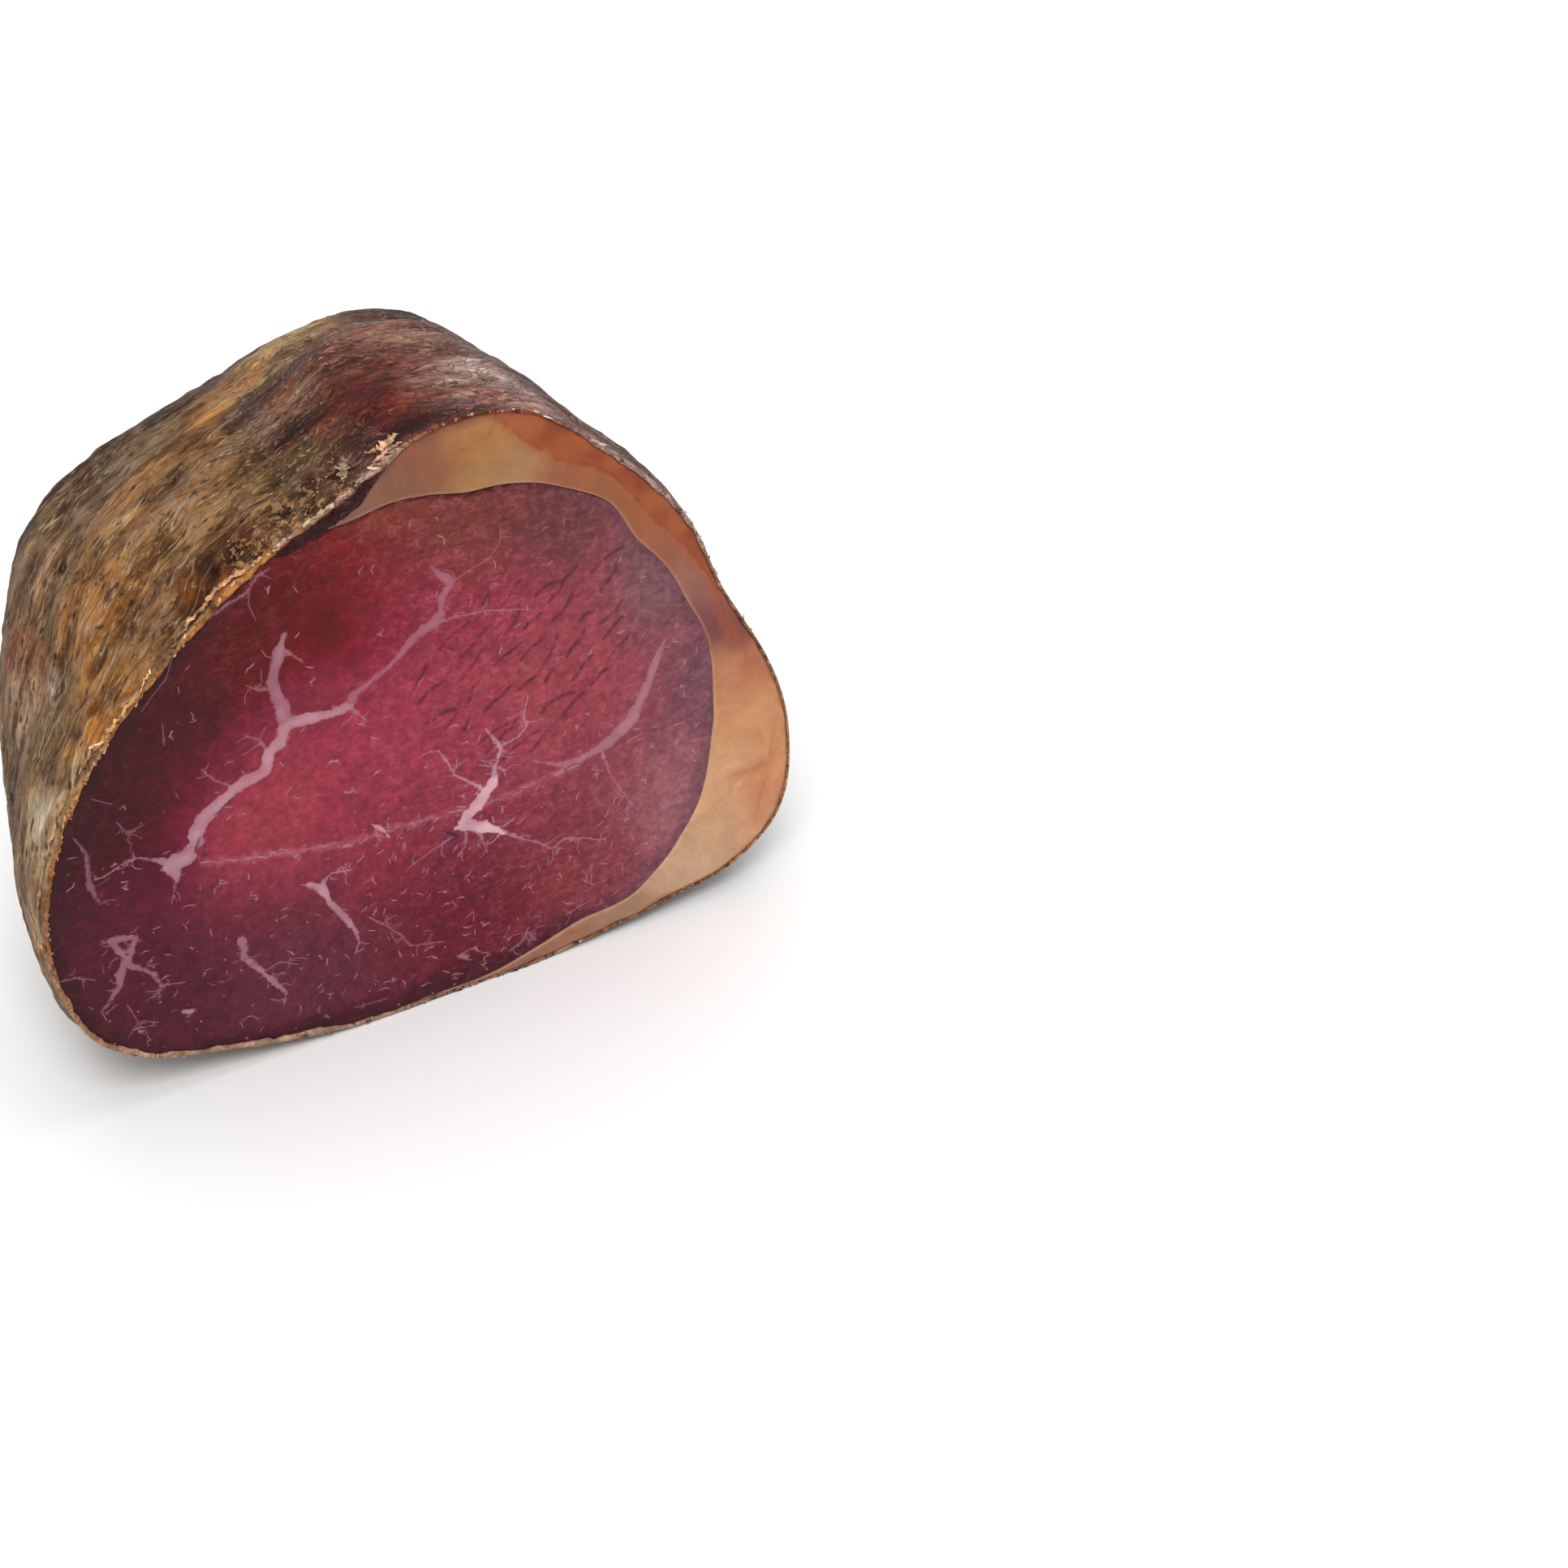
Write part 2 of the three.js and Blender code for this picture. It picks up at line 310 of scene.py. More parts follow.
def on_cut(pixels):
    """Where lines of sight through pixels meet the plane of the cut, as (x, z) from the axis."""
    across, down = (np.asarray(pixels, float)[..., :2] - PHOTO_SIZE / 2).T / FOCAL_PIXELS
    sight = np.outer(across, CAMERA_RIGHT) - np.outer(down, CAMERA_UP) - CAMERA_BACK
    reach = (CUT_FACE_Y - CAMERA_PLACE[1]) / sight[:, 1]
    points = CAMERA_PLACE + sight * reach[:, None]
    return np.stack([points[:, 0], points[:, 2] - AXIS_HEIGHT], -1)


def to_pixels(points):
    """Where points, with y from the cut, appear in the photograph."""
    sight = points + np.array([0, CUT_FACE_Y, 0]) - CAMERA_PLACE
    depth = -(sight @ CAMERA_BACK)
    across, up = sight @ CAMERA_RIGHT / depth, sight @ CAMERA_UP / depth
    return PHOTO_SIZE / 2 + FOCAL_PIXELS * np.stack([across, -up], -1)


def srgb(hex_colour):
    """The three sRGB parts, 0 to 1, of a hex colour."""
    return np.array([int(hex_colour[i : i + 2], 16) for i in (1, 3, 5)]) / 255


def linear(colour):
    """An sRGB colour, a hex string or parts from 0 to 1, as linear RGBA for a shader or attribute."""
    parts = srgb(colour) if isinstance(colour, str) else np.clip(colour, 0, 1)
    light = np.where(parts <= 0.04045, parts / 12.92, ((parts + 0.055) / 1.055) ** 2.4)
    return np.concatenate([light, np.ones(light.shape[:-1] + (1,))], -1)


def beneath_sheen(light, sheen):
    """A linear colour as seen, less the pale surround that the surface mirrors."""
    below = np.maximum(light[..., :3] - sheen, 0.2 * light[..., :3])
    return np.concatenate([below, light[..., 3:]], -1)


def blend_shades(distances, shades):
    """The shades' colours weighted by 1 / (1 + (distance / size)^2)^2, from a row of distances for
    each shade, and the sum of the weights."""
    sizes = np.array([shade[2] for shade in shades])
    colours = np.array([srgb(shade[3]) for shade in shades])
    weights = 1 / (1 + (distances / sizes[:, None]) ** 2) ** 2
    total = weights.sum(0)
    return (weights[..., None] * colours[:, None]).sum(0) / total[:, None], total


def shades_of_cut(place, table):
    """The colours at places of the cut: the named shades of a table blended by distance."""
    shades = list(table.values())
    centres = on_cut([shade[:2] for shade in shades])
    return blend_shades(np.hypot(*(place - centres[:, None]).transpose(2, 0, 1)), shades)[0]


def unit(vectors):
    """The vectors, each one at length 1."""
    return vectors / np.linalg.norm(vectors, axis=-1, keepdims=True)


def add_object(name, data):
    """A new object with its data, linked into the scene."""
    made = bpy.data.objects.new(name, data)
    bpy.context.scene.collection.objects.link(made)
    return made


def stand(made, place, axes):
    """Puts a camera or a light at a place in millimetres, turned to its right, up and back axes."""
    turned = Matrix(np.stack(axes, -1).tolist()).to_4x4()
    made.matrix_world = Matrix.Translation(np.array(place) * MM) @ turned


# How an attribute is stored, by the number of values for each point
ATTRIBUTE_KINDS = {
    1: ("FLOAT", "value"), 3: ("FLOAT_VECTOR", "vector"), 4: ("FLOAT_COLOR", "color"),
}


def make_piece(name, points, faces, material, attributes, sharp_degrees=50):
    """A mesh object from points in millimetres, with y from the cut. Faces are arrays of corners,
    attributes are named arrays with one value, one vector or one linear colour for each point."""
    mesh = bpy.data.meshes.new(name)
    placed = (points + np.array([0, CUT_FACE_Y, 0])) * MM
    mesh.from_pydata(placed.tolist(), [], [face for group in faces for face in group.tolist()])
    for title, values in attributes.items():
        parts = values.shape[1] if values.ndim == 2 else 1
        kind, field = ATTRIBUTE_KINDS[parts]
        made = mesh.attributes.new(title, kind, "POINT")
        made.data.foreach_set(field, values.astype(np.float32).ravel())
    mesh.shade_smooth()
    mesh.set_sharp_from_angle(angle=np.radians(sharp_degrees))
    mesh.materials.append(material)
    mesh.validate()
    piece = add_object(name, mesh)
    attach(piece, "root")
    return piece


def grid_faces(index):
    """Quads over a grid of point numbers, first index round the axis, second along the depth."""
    a, b, c, d = index[:-1, :-1], index[:-1, 1:], index[1:, 1:], index[1:, :-1]
    return np.stack([a, b, c, d], -1).reshape(-1, 4)


def fan_faces(ring, pole, before_pole=True):
    """Triangles from a closed ring of point numbers to a pole, after or before it along the depth."""
    following = np.roll(ring, -1)
    tip = np.full_like(ring, pole)
    corners = [ring, tip, following] if before_pole else [ring, following, tip]
    return np.stack(corners, -1)


# Settings that many nodes share: a mix of colours, and a range with soft ends
COLOURS = {"data_type": "RGBA", "output": 2}
SOFT = {"interpolation_type": "SMOOTHSTEP"}


def add_node(tree, kind, inputs=None, output=0, **settings):
    """Adds one node and gives one of its outputs. inputs gives sockets by name or number: a value,
    or another node's output."""
    made = tree.nodes.new("ShaderNode" + kind)
    for title, value in settings.items():
        setattr(made, title, value)
    for socket, value in (inputs or {}).items():
        if isinstance(value, bpy.types.NodeSocket):
            tree.links.new(value, made.inputs[socket])
        else:
            made.inputs[socket].default_value = value
    return made.outputs[output] if made.outputs else None


def per_metre(size):
    """Pattern scale for a feature of that size in millimetres."""
    return 1 / (size * MM)


def start_material(name):
    """An empty material, the function that adds a node to it, and its object coordinates."""
    material = bpy.data.materials.new(name)
    material.use_nodes = True
    material.node_tree.nodes.clear()
    add = partial(add_node, material.node_tree)
    return material, add, add("TexCoord", output="Object")


def air_dried_lean():
    """Air-dried beef, cut with a knife: translucent, a little moist, bundles of fibre cut across,
    soft marbling that stays paler and duller than the meat."""
    material, add, place = start_material("air_dried_beef_knife_cut")
    tint = add("Attribute", attribute_name="tint")
    marbling, offset, thin, strength, slits, creasing, speckling, netting = (
        add("Attribute", output="Fac", attribute_name=title)
        for title in (
            "marbling", "marbling_offset", "marbling_thin", "marbling_strength", "slits", "creasing",
            "speckling", "netting",
        )
    )

    # Mottling a few millimetres across, and bundles of fibre of about 1.5 mm, lighter in their middles
    # and darker towards their edges, partly as painted shade between them
    mottle = add("TexNoise", {"Vector": place, "Scale": per_metre(3.4), "Detail": 7.0, "Roughness": 0.72})
    mottle_level = add("MapRange", {"Value": mottle, 1: 0.32, 2: 0.68, 3: 0.7, 4: 1.32})
    bundles = add(
        "TexVoronoi", {"Vector": place, "Scale": per_metre(1.5), "Randomness": 1.0}, feature="SMOOTH_F1"
    )
    bundle_level = add("MapRange", {"Value": bundles, 1: 0.1, 2: 0.75, 3: 1.16, 4: 0.82})
    level = add("Math", {0: mottle_level, 1: bundle_level}, operation="MULTIPLY")
    grey_level = add("CombineColor", {0: level, 1: level, 2: level})
    meat = add("Mix", {0: 1.0, 6: tint, 7: grey_level}, blend_type="MULTIPLY", **COLOURS)

    # Soft pale filaments between the bundles, some 3 mm long, where a noise crosses its middle
    drawn_out = add(
        "Mapping",
        {"Vector": place, "Rotation": (0.0, np.radians(46), 0.0), "Scale": (1 / 4.4, 1 / 3, 1 / 2.5)},
    )
    filament_noise = add(
        "TexNoise",
        {
            "Vector": drawn_out,
            "Scale": per_metre(1.0),
            "Detail": 3.0,
            "Roughness": 0.62,
            "Distortion": 0.3,
        },
    )
    filament_wave = add("Math", {0: filament_noise, 1: 0.5}, operation="SUBTRACT")
    filament_near = add("Math", {0: filament_wave}, operation="ABSOLUTE")
    net_lines = add("MapRange", {"Value": filament_near, 1: 0.0, 2: 0.075, 3: 1.0, 4: 0.0}, **SOFT)
    net_gaps = add("MapRange", {"Value": mottle, 1: 0.42, 2: 0.64, 3: 0.04, 4: 0.28})
    net_here = add("Math", {0: net_gaps, 1: netting}, operation="MULTIPLY")
    net_share = add("Math", {0: net_lines, 1: net_here}, operation="MULTIPLY")
    netted = add("Mix", {0: net_share, 6: meat, 7: linear("#b8727a")}, **COLOURS)

    # Fine creases of the fibre bundles, darkened with painted shade, from the distance to their strokes
    crease_line = add("MapRange", {"Value": creasing, 1: 0.0, 2: 0.7, 3: 0.9, 4: 0.0}, **SOFT)
    crease_gaps = add("MapRange", {"Value": mottle, 1: 0.4, 2: 0.55, 3: 1.0, 4: 0.45})
    creases = add("Math", {0: crease_line, 1: crease_gaps}, operation="MULTIPLY")
    crease_shaded = add("Mix", {0: creases, 6: netted, 7: linear("#5a1a28")}, **COLOURS)

    # Pale specks of fat, a few tenths of a millimetre across
    specks = add("TexVoronoi", {"Vector": place, "Scale": per_metre(4.2), "Randomness": 1.0})
    speck_spots = add("MapRange", {"Value": specks, 1: 0.05, 2: 0.1, 3: 0.8, 4: 0.0}, **SOFT)
    speck_share = add("Math", {0: speck_spots, 1: speckling}, operation="MULTIPLY")
    speckled = add("Mix", {0: speck_share, 6: crease_shaded, 7: linear("#a66d79")}, **COLOURS)

    # Marbling: wide veins from the signed distance, made ragged by fine noise, and hairlines from
    # the offset beside their middle line, kept to where a line is near
    ragged = add("TexNoise", {"Vector": place, "Scale": per_metre(1.3), "Detail": 3.0})
    ragged_distance = add("Math", {0: ragged, 1: 1.7, 2: marbling}, operation="MULTIPLY_ADD")
    wide = add("MapRange", {"Value": ragged_distance, 1: 0.5, 2: 1.1, 3: 1.0, 4: 0.0}, **SOFT)
    beside = add("Math", {0: offset}, operation="ABSOLUTE")
    hairline = add("MapRange", {"Value": beside, 1: 0.04, 2: 0.26, 3: 1.0, 4: 0.0}, **SOFT)
    near_line = add("MapRange", {"Value": marbling, 1: 0.45, 2: 0.9, 3: 1.0, 4: 0.0})
    hair = add("Math", {0: hairline, 1: near_line}, operation="MULTIPLY")
    hair_thin = add("Math", {0: hair, 1: thin}, operation="MULTIPLY")
    either = add("Math", {0: wide, 1: hair_thin}, operation="MAXIMUM")
    cover = add("MapRange", {"Value": strength, 1: 0.0, 2: 1.0, 3: 0.3, 4: 0.96})
    vein_share = add("Math", {0: either, 1: cover}, operation="MULTIPLY")
    vein_tone = add("Math", {0: marbling, 1: -0.14, 2: strength}, operation="MULTIPLY_ADD")
    vein_fat = add("Mix", {0: vein_tone, 6: linear("#9a5d73"), 7: linear("#d8acb6")}, **COLOURS)
    veined = add("Mix", {0: vein_share, 6: speckled, 7: vein_fat}, **COLOURS)
    # The slits and holes are darkened with painted shade
    slit = add("MapRange", {"Value": slits, 1: -0.2, 2: 0.35, 3: 0.85, 4: 0.0}, **SOFT)
    colour = add("Mix", {0: slit, 6: veined, 7: linear("#2a1016")}, **COLOURS)
    roughness = add("MapRange", {"Value": mottle, 1: 0.35, 2: 0.65, 3: 0.36, 4: 0.54})
    vein_height = add("Math", {0: vein_share, 1: 0.5, 2: mottle}, operation="MULTIPLY_ADD")
    crease_height = add("Math", {0: creases, 1: -1.2, 2: vein_height}, operation="MULTIPLY_ADD")
    bundle_height = add("Math", {0: bundles, 1: -0.5, 2: crease_height}, operation="MULTIPLY_ADD")
    bump = add("Bump", {"Height": bundle_height, "Strength": 0.7, "Distance": 0.3 * MM})
    shader = add(
        "BsdfPrincipled",
        {
            "Base Color": colour,
            "Roughness": roughness,
            "IOR": 1.42,
            "Specular IOR Level": 0.22,
            "Subsurface Weight": 0.15,
            "Subsurface Radius": (1.0, 0.3, 0.25),
            "Subsurface Scale": 1.5 * MM,
            "Normal": bump,
        },
    )
    add("OutputMaterial", {"Surface": shader})
    return material


def waxy_fat():
    """Beef suet, cured and cut with a knife: firm and waxy, translucent, smooth, amber where the
    smoke has reached it."""
    material, add, place = start_material("cured_suet_knife_cut")
    tint = add("Attribute", attribute_name="tint")
    amber = add("Attribute", output="Fac", attribute_name="amber")
    amber_share = add("Attribute", output="Fac", attribute_name="amber_share")

    # Cloudy patches about 7 mm across and a grain of fat lobules under a millimetre
    clouds = add(
        "TexNoise",
        {"Vector": place, "Scale": per_metre(7), "Detail": 5.0, "Roughness": 0.6, "Distortion": 0.6},
    )
    cloud_level = add("MapRange", {"Value": clouds, 1: 0.3, 2: 0.7, 3: 0.86, 4: 1.12})
    grain = add("TexNoise", {"Vector": place, "Scale": per_metre(0.9), "Detail": 2.0})
    grain_level = add("MapRange", {"Value": grain, 1: 0.3, 2: 0.7, 3: 0.95, 4: 1.05})
    level = add("Math", {0: cloud_level, 1: grain_level}, operation="MULTIPLY")
    grey_level = add("CombineColor", {0: level, 1: level, 2: level})
    suet = add("Mix", {0: 1.0, 6: tint, 7: grey_level}, blend_type="MULTIPLY", **COLOURS)
    streak_noise = add("TexNoise", {"Vector": place, "Scale": per_metre(2.2), "Detail": 3.0})
    ragged_amber = add("Math", {0: streak_noise, 1: -2.6, 2: amber}, operation="MULTIPLY_ADD")
    glow = add("MapRange", {"Value": ragged_amber, 1: -1.2, 2: 2.2, 3: 0.55, 4: 0.0}, **SOFT)
    glow_here = add("Math", {0: glow, 1: amber_share}, operation="MULTIPLY")
    glowing = add("Mix", {0: glow_here, 6: suet, 7: linear("#a04e22")}, **COLOURS)
    core = add("MapRange", {"Value": ragged_amber, 1: -1.6, 2: -0.7, 3: 0.45, 4: 0.0}, **SOFT)
    core_here = add("Math", {0: core, 1: amber_share}, operation="MULTIPLY")
    colour = add("Mix", {0: core_here, 6: glowing, 7: linear("#6e2c12")}, **COLOURS)
    bump = add("Bump", {"Height": clouds, "Strength": 0.35, "Distance": 0.5 * MM})
    roughness = add("MapRange", {"Value": clouds, 1: 0.3, 2: 0.7, 3: 0.3, 4: 0.48})
    shader = add(
        "BsdfPrincipled",
        {
            "Base Color": colour,
            "Roughness": roughness,
            "IOR": 1.45,
            "Specular IOR Level": 0.35,
            "Subsurface Weight": 0.3,
            "Subsurface Radius": (1.0, 0.55, 0.3),
            "Subsurface Scale": 3 * MM,
            "Normal": bump,
        },
    )
    add("OutputMaterial", {"Surface": shader})
    return material


def smoke_dried_rind():
    """The outside of the meat and fat, rubbed with salt, smoked over oak and air-dried: leathery, drawn
    into strands with pale crests and dark cracks, with mould bloom and dark pores. The pale of the crests
    and high places is partly bloom and partly painted highlight, and the cracks and low places carry
    painted shade."""
    material, add, place = start_material("oak_smoked_air_dried_rind")
    tint, ridge, bloom, bloom_share, over_fat, pores, crumbly, flow = (
        add("Attribute", output=output, attribute_name=title)
        for title, output in (
            ("tint", "Color"), ("ridge", "Fac"), ("bloom", "Color"), ("bloom_share", "Fac"),
            ("over_fat", "Fac"), ("pores", "Fac"), ("crumbly", "Fac"), ("flow", "Vector"),
        )
    )

    # The flow wavers, by a few tenths of a millimetre on the flank and up to a millimetre over the
    # fat, so that the strands are wrinkled like dried skin
    waver = add(
        "TexNoise",
        {"Vector": flow, "Scale": per_metre(4.5), "Detail": 2.0, "Roughness": 0.55},
        output="Color",
    )
    waver_size = add("MapRange", {"Value": over_fat, 3: 1 * MM, 4: 4.4 * MM})
    wrinkled = add("Mix", {0: waver_size, 6: flow, 7: waver}, blend_type="ADD", **COLOURS)
    # Noises drawn out along the flow: for the strands of the flank, for the finer threads over the
    # fat, and for streaks 0.8 mm apart everywhere. Sizes are those of the noise, along and across
    noises = []
    for long, apart, detail, roughness in (
        (30, 6, 3.0, 0.52),
        (13, 4.2, 2.0, 0.55),
        (4, 0.8, 4.0, 0.65),
    ):
        drawn_out = add("Mapping", {"Vector": wrinkled, "Scale": (1 / long, 1 / apart, 1 / long)})
        noises.append(add(
            "TexNoise",
            {"Vector": drawn_out, "Scale": per_metre(1.0), "Detail": detail, "Roughness": roughness},
        ))
    strands, threads, streaks = noises
    # The first two have several narrow crests, the level lines of the noise, a millimetre or two apart,
    # with a crack beside each that gets painted shade
    edges = []
    for wave, steps, shift, width in (
        (strands, 5.2, 0.0, 0.13),
        (strands, 5.2, 0.24, 0.19),
        (threads, 9.0, 0.0, 0.12),
        (threads, 9.0, 0.25, 0.18),
    ):
        level = add("Math", {0: wave, 1: steps, 2: shift}, operation="MULTIPLY_ADD")
        distance = add("Math", {0: level, 1: 0.5}, operation="PINGPONG")
        edges.append(add("MapRange", {"Value": distance, 1: 0.0, 2: width, 3: 1.0, 4: 0.0}, **SOFT))
    crest, crack, thin_crest, thin_crack = edges
    streak_wave = add("MapRange", {"Value": streaks, 1: 0.3, 2: 0.7, 3: -1.0, 4: 1.0})
    fine = add("TexNoise", {"Vector": place, "Scale": per_metre(1.8), "Detail": 6.0, "Roughness": 0.7})
    fine_wave = add("MapRange", {"Value": fine, 1: 0.3, 2: 0.7, 3: -1.0, 4: 1.0})
    with_streaks = add("Math", {0: streak_wave, 1: 0.26, 2: ridge}, operation="MULTIPLY_ADD")
    high = add("Math", {0: fine_wave, 1: 0.4, 2: with_streaks}, operation="MULTIPLY_ADD")
    # Painted shade in the low places of the relief
    shadowed = add("MapRange", {"Value": high, 1: -1.1, 2: 0.4, 3: 1.0, 4: 0.0}, **SOFT)
    shade_tint = add("Mix", {0: 1.0, 6: tint, 7: linear("#836f57")}, blend_type="MULTIPLY", **COLOURS)
    hide = add("Mix", {0: shadowed, 6: tint, 7: shade_tint}, **COLOURS)

    # Pale bloom on the high places and in lines along the crests: partly salt and mould bloom, partly a
    # painted highlight on the relief
    on_high = add("MapRange", {"Value": high, 1: 0.1, 2: 1.2, 3: 0.0, 4: 0.6}, **SOFT)
    on_thin = add("MapRange", {"Value": over_fat, 3: 0.5, 4: 1.0})
    on_coarse = add("MapRange", {"Value": over_fat, 3: 0.74, 4: 0.4})
    coarse_line = add("Math", {0: crest, 1: on_coarse}, operation="MULTIPLY")
    thin_line = add("Math", {0: thin_crest, 1: on_thin}, operation="MULTIPLY")
    line = add("Math", {0: coarse_line, 1: thin_line}, operation="MAXIMUM")
    line_shows = add("MapRange", {"Value": streaks, 1: 0.4, 2: 0.56, 3: 0.1, 4: 1.0})
    broken_line = add("Math", {0: line, 1: line_shows}, operation="MULTIPLY")
    bloom_and_highlight_place = add("Math", {0: on_high, 1: broken_line}, operation="MAXIMUM")
    bloom_and_highlight_here = add("Math", {0: bloom_and_highlight_place, 1: bloom_share}, operation="MULTIPLY")
    bloomed_and_highlit = add("Mix", {0: bloom_and_highlight_here, 6: hide, 7: bloom}, **COLOURS)
    # Painted shade in the cracks beside the crests
    coarse_gap = add("Math", {0: crack, 1: on_coarse}, operation="MULTIPLY")
    thin_gap = add("Math", {0: thin_crack, 1: on_thin}, operation="MULTIPLY")
    gap = add("Math", {0: coarse_gap, 1: thin_gap}, operation="MAXIMUM")
    gap_share = add("Math", {0: gap, 1: 0.62}, operation="MULTIPLY")
    crack_shade_tint = add("Mix", {0: 1.0, 6: bloomed_and_highlit, 7: linear("#6e5c4a")}, blend_type="MULTIPLY", **COLOURS)
    cracked = add("Mix", {0: gap_share, 6: bloomed_and_highlit, 7: crack_shade_tint}, **COLOURS)

    # Dark dashes 2 to 5 mm long that lie along the strands, and pores about 1 mm across
    along_slits = add("Mapping", {"Vector": wrinkled, "Scale": (1 / 5, 1 / 2.1, 1 / 5)})
    slit_noise = add(
        "TexNoise", {"Vector": along_slits, "Scale": per_metre(1.0), "Detail": 4.0, "Roughness": 0.6}
    )
    slits = add("MapRange", {"Value": slit_noise, 1: 0.58, 2: 0.65, 3: 0.0, 4: 0.8}, **SOFT)
    slitted = add("Mix", {0: slits, 6: cracked, 7: linear("#3a281b")}, **COLOURS)
    along_pores = add("Mapping", {"Vector": flow, "Scale": (1 / 5.6, 1 / 3.1, 1 / 5.6)})
    pore_distance = add("TexVoronoi", {"Vector": along_pores, "Scale": per_metre(1.0)})
    pore_rough = add("Math", {0: fine_wave, 1: 0.07, 2: pore_distance}, operation="MULTIPLY_ADD")
    pore_spots = add("MapRange", {"Value": pore_rough, 1: 0.07, 2: 0.24, 3: 1.0, 4: 0.0}, **SOFT)
    spots = add("Math", {0: pore_spots, 1: pores}, operation="MULTIPLY")
    spotted = add("Mix", {0: spots, 6: slitted, 7: linear("#22130d")}, **COLOURS)

    # Crumbling places: grains 1 to 2 mm across in the colour of the bloom, with painted shade in the gaps
    # between them
    grains = add(
        "TexNoise",
        {"Vector": place, "Scale": per_metre(2.2), "Detail": 3.0, "Roughness": 0.6, "Distortion": 0.5},
    )
    colour = spotted
    for low, high_grain, shade in ((0.5, 0.57, bloom), (0.43, 0.35, linear("#4e3428"))):
        grain_share = add("MapRange", {"Value": grains, 1: low, 2: high_grain, 3: 0.0, 4: 0.85}, **SOFT)
        grain_here = add("Math", {0: grain_share, 1: crumbly}, operation="MULTIPLY")
        colour = add("Mix", {0: grain_here, 6: colour, 7: shade}, **COLOURS)
    grain_wave = add("MapRange", {"Value": grains, 1: 0.4, 2: 0.6, 3: -1.0, 4: 1.0})
    grain_height = add("Math", {0: grain_wave, 1: crumbly}, operation="MULTIPLY")
    shine = add("Math", {0: fine_wave, 1: 0.12, 2: over_fat}, operation="MULTIPLY_ADD")
    roughness = add("MapRange", {"Value": shine, 1: 0.0, 2: 1.0, 3: 0.78, 4: 0.5})
    height = streak_wave
    for part, rise in (
        (line, 1.4),
        (gap, -1.4),
        (spots, -1.6),
        (slits, -1.0),
        (fine_wave, 0.4),
        (grain_height, 3.0),
    ):
        height = add("Math", {0: part, 1: rise, 2: height}, operation="MULTIPLY_ADD")
    bump = add("Bump", {"Height": height, "Strength": 1.0, "Distance": 0.28 * MM})
    shader = add(
        "BsdfPrincipled",
        {
            "Base Color": colour,
            "Roughness": roughness,
            "IOR": 1.45,
            "Specular IOR Level": 0.25,
            "Normal": bump,
        },
    )
    add("OutputMaterial", {"Surface": shader})
    return material


